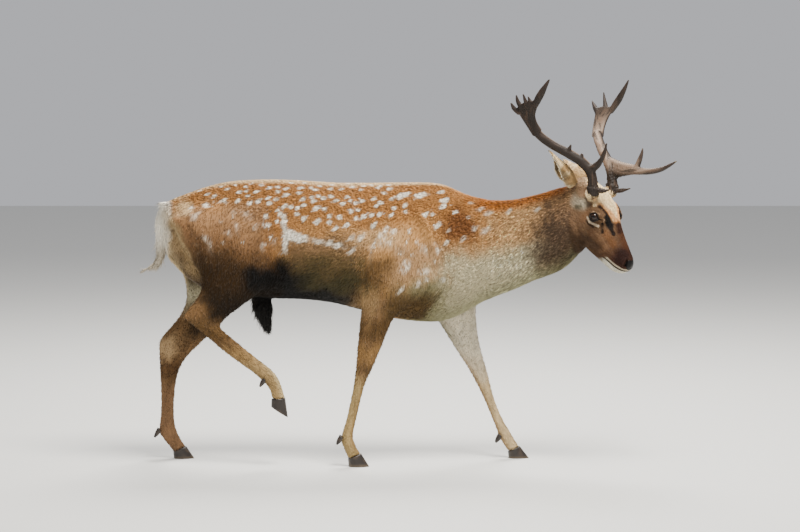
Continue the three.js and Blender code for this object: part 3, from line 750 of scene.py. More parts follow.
def mix(base, other, amount):
    """'base' with that amount of another colour over it, which may be '#rrggbb'."""
    if isinstance(other, str):
        other = colour(other)
    return base + (other - base) * np.clip(amount, 0, 1)[:, None]


def in_zone(value, low, high, soft):
    return ease(value, low - soft, low + soft) * ease(value, high + soft, high - soft)


def body_colours(place, up, normals, points):
    """The trunk and neck, by place along the body and height in the side view, in mm."""
    x = place[:, 0] + 12 * ripple(points, 0.11, 13) + 6 * ripple(points, 0.03, 14)
    up = up + 9 * ripple(points, 0.05, 11) + 12 * ripple(points, 0.16, 12)
    out = painted("#b18350", points)
    out = mix(out, TAN, 0.85 * ease(up, 800, 720) * in_zone(x, -170, 330, 60))
    out = mix(out, "#d2b48a", 0.7 * in_zone(up, 690, 762, 20) * in_zone(x, 40, 190, 40))
    # The haunch darkens downward, as painted shade.
    haunch = ease(x, -205, -265)
    out = mix(out, "#ab8b6b", 0.7 * ease(up, 850, 790) * haunch)
    out = mix(out, "#8a6a4b", 0.8 * ease(up, 800, 725) * haunch)
    out = mix(out, "#705538", 0.88 * ease(up, 745, 664) * haunch)
    out = mix(out, "#42311a", 0.9 * ease(up, 690, 604) * ease(x, -180, -260))
    dock = np.hypot(x + 496, up - 822)
    out = mix(out, CREAM, 0.55 * ease(dock, 44, 16))
    # So does the flank, to black along the belly, and blackest in the groin: all painted shade,
    # and the flank's olive tones hold painted green light reflected from plants.
    frayed = 9 * ripple(points, 0.010, 25)
    flank = in_zone(x + 2 * frayed, -190, 95, 48)
    low = up + frayed
    out = mix(out, "#9b7f5e", 0.9 * ease(low, 740, 700) * flank)
    out = mix(out, "#6c5d3d", 0.92 * ease(low, 692, 618) * flank)
    out = mix(out, "#4f4a30", 0.85 * ease(low, 632, 572) * flank)
    # Painted shade at the elbow, where the foreleg meets the body.
    elbow = np.hypot((x - 128) / 1.3, up - 600)
    out = mix(out, "#57452a", 0.75 * ease(elbow, 62, 24))
    # The lower shoulder and the breast. The breast's green-grey below is painted shade with
    # painted green light reflected from plants, and the olive patch where the foreleg meets the
    # chest is painted shade.
    out = mix(out, "#ab8d6b", 0.85 * ease(up, 712, 672) * ease(x, 130, 200))
    breast = ease(up, 612 + 0.12 * (x - 300), 560 + 0.12 * (x - 300))
    out = mix(out, "#8c8a66", 0.9 * breast * ease(x, 190, 260))
    out = mix(out, "#6a5c36", 0.4 * ease(np.hypot((x - 186) / 1.1, up - 548), 50, 16))
    # Painted shade: black along the belly, and darkest in the groin.
    out = mix(out, BLACK_BROWN, 0.97 * ease(up, 572, 530) * in_zone(x, -230, 66, 24))
    groin = np.hypot((x + 212) / 1.3, up - 560)
    out = mix(out, "#060403", 0.98 * ease(groin, 100, 48))
    mottled = 24 * ripple(points, 0.012, 15) + 16 * ripple(points, 0.03, 16)
    neck_from = np.clip(392 + 1.15 * (up - 700), 300, 500)
    neck = ease(x + mottled, neck_from - 75, neck_from + 80)
    out = mix(out, neck_colours(x, up, normals, points, mottled), neck)
    band = np.hypot((x - 376) / 62, (up - 764) / 62)
    out = mix(out, "#6f4526", 0.75 * ease(band, 1.25, 0.35))
    # The crest's russet line, and a painted highlight along the top of the back, where the light
    # from above falls.
    crest = ease(x, 400, 470) * ease(normals[:, 2], 0.45, 0.8) * ease(x, 760, 715)
    out = mix(out, "#a46a2c", 0.95 * crest)
    top = ease(normals[:, 2], 0.88, 0.98) * ease(x, 400, 330) * ease(x, -560, -480)
    return mix(out, CREAM, 0.68 * top)


def neck_colours(x, up, normals, points, mottled):
    """Fawn, greyer below, with painted shade: dark brown under the jaw, and a darker green-grey
    underside of the neck that also holds painted green light reflected from plants.
    """
    out = painted("#c3a176", points)
    out = mix(out, "#93765a", 0.8 * ease(x, 560, 690))
    under = ease(up, 716 + 0.12 * (x - 400), 610 + 0.24 * (x - 400)) * ease(x, 720, 600)
    out = mix(out, PALE_GREY, 0.9 * under)
    # Painted shade under the jaw.
    under_jaw_shade = np.hypot(x - 712, (up - 698) / 1.15) + 0.5 * mottled
    out = mix(out, "#54463a", 0.85 * ease(under_jaw_shade, 140, 50))
    # Painted shade, tinged with painted green reflected light, where the neck faces down.
    neck_underside_shade = ease(normals[:, 2], -0.25, -0.8)
    return mix(out, "#8b8c6c", 0.6 * neck_underside_shade)


def white_bands(out, place, up, points):
    """The white bar before the haunch, and the white line along the flank."""
    frayed = 3 * ripple(points, 0.012, 21)
    x = place[:, 0] + 2.5 * ripple(points, 0.012, 22)
    bar = in_zone(x + 0.04 * (up - 730), -181, -166, 4) * in_zone(up + frayed, 676, 794, 10)
    bar = bar * (1 - 0.45 * ease(up, 750, 770)) * ease(ripple(points, 0.009, 23), -1.9, -0.3)
    line_height = 730 - 0.2 * (x + 173)
    half_width = np.interp(x, [-173, -140, -110, -60, 30], [19, 16, 10, 7, 5])
    line = ease(np.abs(up + frayed - line_height) - half_width, 5, -3) * in_zone(x, -174, 22, 8)
    gaps = 0.5 + 0.5 * np.sin((x + 108) / 27 * np.pi)
    fading = 1 - ease(x, -115, -95) * (0.25 + 0.6 * gaps)
    line = line * ease(ripple(points, 0.008, 24), -2.0, -0.6)
    return mix(out, WHITE, 0.97 * np.maximum(bar, line * fading))


def haunch_colours(out, place, up, normals, points):
    """The white seat under the tail, the paler and darker lines beside it, and a few streaks."""
    x = place[:, 0] + 8 * ripple(points, 0.06, 31)
    seat = ease(normals[:, 0], -0.50, -0.80) * ease(x, -455, -500) * ease(up, 480, 560)
    out = mix(out, CREAM, 0.8 * seat)
    out = mix(out, WHITE, 0.8 * ease(x, -532, -552) * ease(up, 650, 690))
    edge = ease(np.abs(x + 552 - 0.42 * (800 - up)), 30, 8) * in_zone(up, 590, 800, 30)
    out = mix(out, "#b39c77", 0.7 * edge)
    scratches = ease(ripple(points * [1.6, 1, 0.5], 0.014, 32), 0.5, 1.5)
    scratches = scratches * in_zone(x, -470, -395, 24) * in_zone(up, 640, 730, 26)
    out = mix(out, "#b09a80", 0.6 * scratches)
    dark_line = ease(np.abs(x + 492 - 0.42 * (800 - up)), 24, 6) * in_zone(up, 640, 790, 30)
    return mix(out, DARK_BROWN, 0.35 * dark_line)


def leg_colours(name, place, up, normals, points):
    """Each leg in bands by height, paler inside and towards the hoof."""
    x = place[:, 0] + 6 * ripple(points, 0.03, 42)
    up = up + 7 * ripple(points, 0.04, 43)
    ahead = ease(normals[:, 0], 0.1, 0.8)
    behind = ease(normals[:, 0], -0.1, -0.8)
    inside = ease(normals[:, 1] * (-1 if name.endswith("left") else 1), 0.1, 0.7)
    out = painted("#846a4c", points)
    streak = ripple(points * [1, 1, 0.35], 0.02, 41)
    if name == "leg_fore_right":
        out = mix(out, "#a38964", 0.8 * in_zone(up, 478, 570, 26) * ease(x, 140, 104))
        out = mix(out, "#5c4a2b", 0.85 * ease(up, 430, 470) * ease(x, 128, 160))
        out = mix(out, "#624c2c", 0.85 * in_zone(up, 396, 456, 18))
        out = mix(out, "#987a50", 0.8 * in_zone(up, 322, 376, 16))
        out = mix(out, "#4f3f26", 0.7 * in_zone(up, 286, 308, 10))
        out = mix(out, "#b59f73", 0.92 * ease(up, 280, 248))
        out = mix(out, "#8c7047", 0.6 * ahead * ease(up, 280, 248))
    elif name == "leg_fore_left":
        pale = ease(up, 520, 455) * (0.55 + 0.45 * inside)
        # Painted shade under the chest, greenish with painted light reflected from plants.
        out = mix(out, "#74734f", 0.8 * ease(up, 440, 500))
        out = mix(out, "#e9e0cb", 0.92 * pale)
        # Painted shade on the leg's rear side, greenish with painted reflected light.
        out = mix(out, "#77735a", 0.75 * behind * ease(up, 300, 400))
        out = mix(out, "#a2835a", 0.6 * in_zone(up, 262, 330, 20) * (0.4 + 0.6 * behind))
        out = mix(out, "#c4ab80", 0.8 * ease(up, 290, 230))
        out = mix(out, "#94744c", 0.6 * behind * ease(up, 300, 240))
    elif name == "leg_hind_right":
        # Painted shade under the belly, on the thigh's front by the groin.
        out = mix(out, "#241a0b", 0.94 * ease(up, 435, 475) * ease(x, -472, -404))
        out = mix(out, "#947551", 0.9 * in_zone(up, 462, 508, 16) * ease(x, -390, -450))
        out = mix(out, "#6e5635", 0.85 * in_zone(up, 385, 450, 20))
        out = mix(out, "#a0855c", 0.9 * ease(up, 392, 350))
        out = mix(out, "#cdbb93", 0.75 * ease(up, 352, 300) * (0.3 + 0.7 * ahead))
        out = mix(out, PALE_GREY, 0.6 * inside * ease(up, 640, 560))
    else:
        out = mix(out, PALE_GREY, 0.95 * inside * ease(up, 450, 520))
        # Painted shade between the hind legs, on the far leg's front.
        out = mix(out, "#2a2013", 0.88 * in_zone(up, 385, 480, 24) * ease(x, -505, -470))
        out = mix(out, "#c0a580", 0.9 * in_zone(up, 322, 388, 16) * ease(x, -515, -540))
        out = mix(out, "#644a30", 0.8 * in_zone(up, 246, 308, 16))
        out = mix(out, "#94765a", 0.85 * ease(up, 246, 210))
    out = mix(out, "#5f4a30", 0.4 * ease(ripple(points, 0.011, 44), 0.6, 1.8))
    return out * (1 + 0.10 * streak)[:, None]


# Markings on the head: a line in its frame, how far the mark is solid and how far it fades, in
# mm, its colour and its strength. Both sides have them.
HEAD_MARKS = {
    "nose bridge": ([(172, 0, 22), (240, 0, 8)], 9, 26, "#5c3b25", 0.8),
    "bridge root": ([(170, 4, 22), (190, 8, 18)], 5, 16, "#3a2115", 0.8),
    "muzzle": ([(262, 22, -12), (270, 20, -26)], 10, 34, "#341d17", 0.85),
    "side of nose": ([(176, 36, -16), (214, 30, -18)], 6, 20, "#86603f", 0.6),
    "cheek shade": ([(150, 44, -88), (186, 38, -74)], 6, 30, "#45362c", 0.45),
    "cheek light": ([(150, 50, -52), (206, 36, -46)], 6, 24, "#8b6d53", 0.7),
    "socket": ([(98, 60, -50), (84, 60, -26)], 5, 18, "#8e6d50", 0.7),
    "brow glow": ([(76, 50, 22), (108, 36, 28), (128, 22, 26), (152, 10, 24)], 5, 15,
                  "#c88f58", 0.7),
    "brow line": ([(94, 47, 19), (112, 41, 22), (131, 34, 19)], 2.5, 8, "#2a1a12", 0.9),
    "dark patch": ([(138, 36, 15), (148, 33, 11), (160, 30, 8)], 8, 14, "#0c0806", 0.97),
    "patch end": ([(156, 29, 9), (172, 28, 4), (188, 25, 1)], 4, 9, "#150c08", 0.9),
    "temple": ([(2, 56, -52), (36, 57, -44), (58, 54, -24)], 5, 30, "#b3ab98", 0.8),
    "temple shade": ([(50, 58, -52), (58, 58, -40)], 3, 11, "#55503f", 0.7),
    "crown": ([(10, 30, 6), (24, 44, -6)], 10, 26, "#b4977a", 0.8),
    "antler foot": ([(34, 54, 34), (40, 52, 38)], 16, 27, "#7c6148", 0.75),
    "antler foot band": ([(40, 62, 24), (58, 56, 30), (64, 42, 32)], 2, 7, "#3c2c20", 0.7),
    "tear pit": ([(146, 45, -4), (152, 44, -12), (167, 43, -23)], 2.5, 6, "#0b0705", 0.95),
    "pale corner": ([(140, 48, 11), (148, 46, 4)], 1.5, 4.5, "#c9ad8f", 0.7),
    "crescent shade": ([(108, 58, -42), (122, 57, -42), (138, 52, -34)], 1.5, 5, "#38271c", 0.75),
    "crescent": ([(103, 58, -32), (118, 57, -34), (132, 53, -27), (143, 49, -20)], 2.5, 5.5,
                 "#e6d6bd", 0.95),
    "upper edge": ([(98, 56, -12), (104, 58, 2), (118, 54, 9)], 1.5, 4, "#c7ab8c", 0.6),
}
MOUTH_LINE = ((224, 238, 271, 300, 309), (-77, -70, -58, -44, -37))     # along, up
FOREHEAD_EDGE = ((0, 7, 18, 27, 41, 46, 58), (168, 163, 150, 127, 108, 92, 66))   # out, along


def head_colours(points):
    """The face: its ground colours, the cream forehead, the marks, the mouth and the eyes."""
    head = in_head(points)
    head[:, 1] = np.abs(head[:, 1])
    u, v, w = head.T
    wander = 3 * ripple(points, 0.02, 51) + 2 * ripple(points, 0.007, 52)
    out = painted("#7c634b", points)
    out = mix(out, "#664c38", 0.8 * ease(u + wander, 165, 225))
    out = mix(out, "#452a20", 0.85 * ease(u + wander, 215, 262))
    out = mix(out, "#a38a6c", 0.7 * ease(u + wander, 60, 10) * ease(w, -80, -50))
    edge = np.interp(v, *FOREHEAD_EDGE)
    forehead = ease(edge - u + wander, -3, 5) * ease(w + wander, -4, 12)
    out = mix(out, CREAM, 0.92 * forehead)
    jaw = ease(w + wander + 0.12 * (u - 100), -92, -108) * ease(u, 240, 200)
    out = mix(out, DARK_BROWN, 0.65 * jaw)
    for line, solid, fading, code, strength in HEAD_MARKS.values():
        away = distance_to(head, line) + 0.35 * wander * min(fading / 12, 1)
        out = mix(out, code, strength * ease(away, fading, solid))
    above_mouth = w - np.interp(u, *MOUTH_LINE)
    out = mix(out, "#ddd8c8", 0.97 * ease(above_mouth, 0, -4) * ease(u + wander, 216, 236))
    out = mix(out, "#d2c7b2", 0.85 * in_zone(above_mouth, 4, 11, 2) * ease(u, 228, 240))
    out = mix(out, BLACK_BROWN, 0.97 * ease(np.abs(above_mouth - 1), 3.2, 1.6) * ease(u, 226, 236))
    for eye in BOTH_EYES:
        near = ease(far(points, eye.centre), 30 * MM, 24 * MM)
        dark = ease(eye.outside_slit(points), 21, 14) * near
        out = mix(out, BLACK_BROWN, 0.95 * dark)
    return out


def ear_colours(side, points, normals):
    """Mottled fawn outside, cream inside, with a dark edge and tip."""
    root, tip = EAR_ROOTS[side], EAR_TIPS[side]
    along, across, _ = ear_axes(side)
    t = (points - root) @ along / np.linalg.norm(tip - root)
    inside = ease(normals @ EAR_OPENINGS[side], -0.1, 0.5)
    out = painted("#b59970", points)
    out = mix(out, CREAM, 0.8 * ease(ripple(points, 0.03, 61) + t - 0.4, -0.3, 0.8))
    mottling = ease(ripple(points, 0.014, 62), 0.5, 1.3) * ease(t, 0.8, 0.5)
    out = mix(out, "#7d6244", 0.6 * mottling)
    edge = np.abs(normals @ across)
    out = mix(out, "#e9dfc8", 0.9 * inside)
    out = mix(out, DARK_BROWN, 0.7 * ease(edge, 0.86, 0.97) * ease(t, 0.2, 0.4))
    return mix(out, DARK_BROWN, 0.8 * ease(t, 0.92, 1.02))


def coat_colours(points, normals, shares, lie):
    """The coat's colour at places on the skin. Skin and tufts both take theirs from here."""
    place = in_part(points)
    up = side_height(place)
    body = body_colours(place, up, normals, points)
    body = haunch_colours(body, place, up, normals, points)
    body = white_bands(body, place, up, points)
    by_region = {"trunk": body, "neck": body, "head": head_colours(points)}
    for name in LEGS:
        blend = ease(place[:, 2], 520, 600)[:, None]
        leg = leg_colours(name, place, up, normals, points)
        by_region[name] = leg * (1 - blend) + body * blend
    for side in ("right", "left"):
        by_region["ear_" + side] = ear_colours(side, points, normals)
    tail = painted(WHITE, points)
    tail = mix(tail, "#b3a793", 0.7 * ease(place[:, 2], 730, 670))
    dark_top = ease(place[:, 0], -548, -535) * ease(place[:, 2], 700, 790)
    by_region["tail"] = mix(tail, DARK_BROWN, dark_top)
    by_region["sheath"] = painted(BLACK_BROWN, points)
    out = sum(by_region[name] * shares[:, [k]] for k, name in enumerate(REGIONS))
    spots = spot_cover(points, lie, SPOT_CENTRES)
    out = mix(out, WHITE, 0.97 * spots)
    return np.clip(out, 0, 1) ** DEPTH_OF_TONE


# ---- The unwrap that the tufts' patches sit on ----

UNWRAP_CELLS = {                 # each region's share of the map: left, bottom, width, height
    "trunk": (0.01, 0.51, 0.62, 0.48), "neck": (0.65, 0.51, 0.34, 0.48),
    "head": (0.01, 0.26, 0.30, 0.23), "ear_right": (0.33, 0.26, 0.15, 0.23),
    "ear_left": (0.50, 0.26, 0.15, 0.23), "tail": (0.67, 0.26, 0.15, 0.23),
    "sheath": (0.84, 0.26, 0.15, 0.23), "leg_fore_right": (0.01, 0.01, 0.23, 0.23),
    "leg_fore_left": (0.26, 0.01, 0.23, 0.23), "leg_hind_right": (0.51, 0.01, 0.23, 0.23),
    "leg_hind_left": (0.76, 0.01, 0.23, 0.23),
}


SLICES = 24                      # along each region, to find its middle line


def unwrap(points, region, normals):
    """Each part of the skin unrolled round its own middle line, into its cell of the map."""
    frames = {
        "head": HEAD_AXES,
        "ear_right": ear_axes("right"), "ear_left": ear_axes("left"),
    }
    upright = np.array([[0, 0, 1], [1, 0, 0], [0, 1, 0]], float)
    lengthwise = np.array([[1, 0, 0], [0, 1, 0], [0, 0, 1]], float)
    out = np.zeros((len(points), 2))
    for index, name in enumerate(REGIONS):
        mine = np.nonzero(region == index)[0]
        if len(mine) == 0:
            continue
        axes = frames.get(name, lengthwise if name in ("trunk", "neck") else upright)
        local = points[mine] @ axes.T
        along = local[:, 0]
        t = (along - along.min()) / max(np.ptp(along), 1e-9)
        steps = np.clip((t * SLICES).astype(int), 0, SLICES - 1)
        count = np.maximum(np.bincount(steps, minlength=SLICES), 1)
        middle_line = [np.interp(t * SLICES, np.arange(SLICES) + 0.5,
                                 np.bincount(steps, local[:, k], SLICES) / count)
                       for k in (1, 2)]
        angle = np.arctan2(local[:, 1] - middle_line[0], local[:, 2] - middle_line[1])
        round_it = angle / (2 * np.pi) + 0.5
        if name in EARS:
            # An ear has two sides: its inside takes the upper half of the cell.
            facing = normals[mine] @ EAR_OPENINGS[name[4:]] > 0
            round_it = 0.48 * round_it + 0.52 * facing
        left, bottom, width, height = UNWRAP_CELLS[name]
        out[mine] = np.stack([left + width * t, bottom + height * round_it], axis=1)
    return out


def ear_axes(side):
    along = unit(EAR_TIPS[side] - EAR_ROOTS[side])
    across = unit(np.cross(along, EAR_OPENINGS[side]))
    return np.array([along, across, np.cross(along, across)])


# ---- Tufts ----

# Each patch of coat: the region's share of tufts, their length and width in mm, how far they
# stand off at their tips as a share of the coat's depth, and how much their colour varies.
PATCHES = {
    "trunk": dict(count=66000, length=16, width=2.6, stand=1.0, vary=0.14),
    "neck": dict(count=34000, length=15, width=1.8, stand=1.0, vary=0.46),
    "head": dict(count=17000, length=8, width=1.5, stand=0.9, vary=0.16),
    "ears": dict(count=6500, length=9, width=1.5, stand=1.0, vary=0.16),
    "tail": dict(count=3000, length=34, width=2.4, stand=1.0, vary=0.12),
    "sheath": dict(count=1500, length=40, width=1.8, stand=2.4, vary=0.4),
    "legs": dict(count=19000, length=10, width=2.0, stand=0.9, vary=0.14),
}
PIECE_TUFTS = 19500              # tufts in one piece at most, each of ten triangles
PATCH_SIZE = 0.003               # of each tuft on the unwrap
TUFT_FACES = np.array([
    (0, 1, 4), (0, 4, 3), (1, 2, 5), (1, 5, 4), (2, 0, 3), (2, 3, 5), (3, 4, 6), (4, 5, 6),
    (5, 3, 6), (0, 2, 1)])
TUFT_SHADE = np.array([0.66, 0.66, 0.78, 0.98, 0.98, 1.05, 1.15])   # darker at the root
# On each tuft's patch: the root's two sides and ridge, the middle's, and the tip.
TUFT_PATCH = np.array([(0, 0), (1, 0), (0.5, 0.1), (0.1, 0.5), (0.9, 0.5), (0.5, 0.55), (0.5, 1)])


class Roots:
    """Where tufts grow: a choice of places on some of the skin's triangles."""

    def __init__(self, names, count, rng, bare):
        corners = skin.triangles
        member = skin.share(*names)[corners].mean(axis=1)
        a, b, c = (skin.points[corners[:, k]] for k in range(3))
        area = np.linalg.norm(np.cross(b - a, c - a), axis=1) / 2
        weight = area * np.clip(member, 0, 1) * (1 - bare[corners].mean(axis=1))
        total = np.cumsum(weight)
        picks = (np.arange(count) + rng.random(count)) / count * total[-1]
        face = np.searchsorted(total, picks)
        r1, r2 = np.sqrt(rng.random(count)), rng.random(count)
        self.shares = np.stack([1 - r1, r1 * (1 - r2), r1 * r2], axis=1)
        self.corners = corners[face]
        self.points = self.take(skin.points)
        self.normals = unit(self.take(skin.normals))
        self.lie = on_surface(self.take(LIE), self.normals)
        self.depth = self.take(DEPTH)
        self.region_shares = self.take(skin.shares)
        self.region = self.region_shares.argmax(axis=1)

    def take(self, values):
        picked = values[self.corners]
        shares = self.shares if picked.ndim == 2 else self.shares[:, :, None]
        return (picked * shares).sum(axis=1)

    def only(self, chosen):
        """These of the roots, by number."""
        part = copy.copy(self)
        for key, value in vars(self).items():
            setattr(part, key, value[chosen])
        return part


def bare_skin():
    """Where nothing grows: the nose, and the eyes' openings and lid rims."""
    bare = nose_share(skin.points)
    for eye in BOTH_EYES:
        near = far(skin.points, eye.centre) < 30 * MM
        bare = np.maximum(bare, near * ease(eye.outside_slit(skin.points), 12, 8))
    return bare


NOSE_BACK = ((0, 10, 18, 26), (287, 283, 281, 293))       # out, along, in mm
NOSE_LOWEST = ((0, 8, 16, 24), (-34, -33, -29, -20))      # out, up


def nose_share(points):
    """1 on the nose's bare skin: its tip, between and round the nostrils."""
    head = in_head(points)
    u, v, w = head[:, 0], np.abs(head[:, 1]), head[:, 2]
    back = np.interp(v, *NOSE_BACK)
    low = np.interp(v, *NOSE_LOWEST)
    return ease(u, back, back + 4) * ease(w, low, low + 4)


def from_hooves(points):
    """Each point's distance from the nearest hoof."""
    hooves = [middle(leg.replace("leg", "hoof") + half)
              for leg in LEGS for half in ("_inner", "_outer")]
    return np.min([far(points, hoof) for hoof in hooves], axis=0)


def stands(roots, name, base):
    """How far the tufts' tips rise, as a share of the coat's depth: the shins' lie flattest."""
    factor = np.ones(len(roots.points))
    if name == "legs":
        factor -= 0.55 * ease(from_hooves(roots.points), 330 * MM, 150 * MM)
    return base * factor


def lengths(roots, name, base):
    """The tufts' lengths in metres, by place."""
    place = in_part(roots.points)
    factor = np.ones(len(roots.points))
    if name == "trunk":
        factor += 0.6 * ease(roots.normals[:, 2], -0.4, -0.9)
        factor += 0.5 * ease(place[:, 0], -470, -550)
    if name == "neck":
        factor += 0.7 * ease(roots.normals[:, 2], -0.3, -0.9)
        factor += 0.7 * ease(roots.normals[:, 2], 0.85, 0.97)
        factor -= 0.25 * ease(place[:, 0], 640, 720)
    if name == "head":
        u = in_head(roots.points)[:, 0]
        factor = 1.5 - 1.0 * ease(u, 60, 290)
        for eye in BOTH_EYES:
            factor *= 1 - 0.45 * ease(far(roots.points, eye.centre), 42 * MM, 24 * MM)
    if name == "legs":
        factor += 0.5 * ease(place[:, 2], 500, 700)
        factor += 0.25 * ease(from_hooves(roots.points), 58 * MM, 38 * MM)
    if name == "sheath":
        factor -= 0.55 * ease(place[:, 2], 470, 420)
    if name == "tail":
        factor += 0.5 * ease(place[:, 2], 760, 680)
        factor -= 0.75 * ease(place[:, 2], 680, 630)
    return base * factor * MM


def widths(roots, name, base):
    factor = np.ones(len(roots.points))
    if name == "head":
        factor = 1.25 - 0.6 * ease(in_head(roots.points)[:, 0], 60, 290)
    return base * factor * MM


def tuft_mesh(name, roots, length, width, stand, vary, rng):
    """One piece of coat: bent three-sided tufts that lie along the skin, coloured as it is."""
    count = len(roots.points)
    lie = unit(roots.lie + 0.16 * rng.normal(size=(count, 3)))
    lie = on_surface(lie, roots.normals)
    across = np.cross(roots.normals, lie)
    length = (length * rng.uniform(0.75, 1.25, count))[:, None]
    width = (width * rng.uniform(0.8, 1.2, count))[:, None]
    rise = (roots.depth * stand * rng.uniform(0.55, 1.1, count))[:, None]
    sway = across * length * rng.uniform(-0.12, 0.12, count)[:, None]
    up = roots.normals
    foot = roots.points - up * 0.6 * MM
    waist = roots.points + lie * length * 0.48 + up * rise * 0.72 + sway * 0.35
    tip = roots.points + lie * length + up * rise + sway
    points = np.stack([
        foot - across * width * 0.42, foot + across * width * 0.42, foot + up * width * 0.40,
        waist - across * width * 0.5, waist + across * width * 0.5, waist + up * width * 0.32,
        tip], axis=1)
    faces = (TUFT_FACES[None] + 7 * np.arange(count)[:, None, None]).reshape(-1, 3)
    obj = mesh_object(name, points.reshape(-1, 3), faces)

    at_waist = roots.points + lie * length * 0.45
    at_tip = roots.points + lie * length * 0.9
    waist_tone, tip_tone = (coat_colours(at, roots.normals, roots.region_shares, roots.lie)
                            for at in (at_waist, at_tip))
    tones = np.stack([waist_tone] * 6 + [tip_tone], axis=1)
    white = ease(tones.min(axis=2), 0.3, 0.7)[:, :, None]
    own = np.exp(vary * rng.normal(size=count))[:, None, None]
    tones = tones * (own + (1 - own) * 0.6 * white)
    shade = TUFT_SHADE[None, :, None]
    tones = tones * (shade + (1 - shade) * 0.7 * white)
    store_colour(obj.data, np.clip(tones, 0, 1).reshape(-1, 3))

    at = unwrap(roots.points, roots.region, roots.normals)
    patch = at[:, None, :] + (TUFT_PATCH[None] - 0.5) * PATCH_SIZE
    patch = patch.reshape(-1, 2)[faces.ravel()]
    layer = obj.data.uv_layers.new(name="OFBake")
    layer.data.foreach_set("uv", patch.astype(np.float32).ravel())
    return obj


def store_colour(mesh, tones):
    layer = mesh.color_attributes.new("coat", "FLOAT_COLOR", "POINT")
    flat = np.ones((len(tones), 4), np.float32)
    flat[:, :3] = tones
    layer.data.foreach_set("color", flat.ravel())


def grow_coat():
    rng = np.random.default_rng(77)
    bare = bare_skin()
    groups = {"trunk": ["trunk"], "neck": ["neck"], "head": ["head"], "ears": EARS,
              "tail": ["tail"], "sheath": ["sheath"], "legs": LEGS}
    for name, patch in PATCHES.items():
        roots = Roots(groups[name], patch["count"], rng, bare)
        order = np.argsort(roots.points[:, 0])
        pieces = math.ceil(patch["count"] / PIECE_TUFTS)
        length = lengths(roots, name, patch["length"])
        width = widths(roots, name, patch["width"])
        stand = stands(roots, name, patch["stand"])
        for number, chosen in enumerate(np.array_split(order, pieces), 1):
            part = roots.only(chosen)
            title = f"coat_{name}" if pieces == 1 else f"coat_{name}_{number}"
            obj = tuft_mesh(title, part, length[chosen], width[chosen], stand[chosen],
                            patch["vary"], rng)
            finished(obj, COAT, "coat")


# ---- Materials ----

class Nodes:
    """A material's node tree, with short ways to add to it. What is set by name is the shader's
    own, with _ for each space."""

    def __init__(self, name, **settings):
        self.material = bpy.data.materials.new(name)
        self.material.use_nodes = True
        self.tree = self.material.node_tree
        self.shader = self.tree.nodes["Principled BSDF"]
        for key, value in settings.items():
            self.shader.inputs[key.replace("_", " ")].default_value = value

    def add(self, kind, **settings):
        node = self.tree.nodes.new(kind)
        for key, value in settings.items():
            socket = key.replace("_", " ")
            if socket in node.inputs:
                node.inputs[socket].default_value = value
            else:
                setattr(node, key, value)
        return node

    def join(self, start, end):
        self.tree.links.new(start, end)

    def noise(self, scale, stretch=(1, 1, 1), detail=3):
        where = self.add("ShaderNodeTexCoord")
        mapping = self.add("ShaderNodeMapping", Scale=stretch)
        self.join(where.outputs["Object"], mapping.inputs["Vector"])
        noise = self.add("ShaderNodeTexNoise", Scale=scale, Detail=detail)
        self.join(mapping.outputs["Vector"], noise.inputs["Vector"])
        return noise.outputs["Fac"]

    def bump(self, height, strength, distance):
        bump = self.add("ShaderNodeBump", Strength=strength, Distance=distance)
        self.join(height, bump.inputs["Height"])
        self.join(bump.outputs["Normal"], self.shader.inputs["Normal"])

    def tinted(self, attribute, factor, low, high):
        """Base colour: the attribute, made darker or lighter where 'factor' says."""
        source = self.add("ShaderNodeAttribute", attribute_name=attribute)
        spread = self.add("ShaderNodeMapRange", From_Min=0.3, From_Max=0.7, To_Min=low,
                          To_Max=high)
        self.join(factor, spread.inputs["Value"])
        scale = self.add("ShaderNodeVectorMath", operation="SCALE")
        self.join(source.outputs["Color"], scale.inputs[0])
        self.join(spread.outputs["Result"], scale.inputs["Scale"])
        self.join(scale.outputs["Vector"], self.shader.inputs["Base Color"])


def coat_material():
    nodes = Nodes("coat", Roughness=0.62, Specular_IOR_Level=0.16, Sheen_Weight=0.03,
                  Sheen_Roughness=0.5)
    nodes.tinted("coat", nodes.noise(420, (1, 1, 1), 2), 0.86, 1.14)
    return nodes.material


def skin_material():
    nodes = Nodes("short_hair", Roughness=0.75, Specular_IOR_Level=0.12)
    hairs = nodes.noise(260, (1, 3.2, 2.2), 4)
    nodes.tinted("coat", hairs, 0.66, 1.0)
    nodes.bump(hairs, 0.7, 0.0012)
    return nodes.material


def finished(obj, material, slot, *replaced):
    obj.data.materials.clear()
    obj.data.materials.append(material)
    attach(obj, "root")
    if replaced:
        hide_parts(*replaced)


COAT = coat_material()
DEPTH = coat_depth(skin)
LIE = lie_of(skin)
SKIN_TREE = BVHTree.FromPolygons([Vector(p) for p in skin.points], skin.triangles.tolist())
SPOT_CENTRES = spot_centres(SKIN_TREE)
store_colour(skin.mesh, coat_colours(skin.points, skin.normals, skin.shares, LIE))
skin_object = placed("skin", skin.mesh)
skin_object.data.shade_smooth()
finished(skin_object, skin_material(), "coat", *REGIONS)
grow_coat()


# ---- Eyes, lid rims and lashes ----

PUPIL_HALF = (27, 12)            # degrees: half the pupil's length along the slit, and its height
IRIS_REACH = 47                  # degrees from the eye's middle to the iris's edge


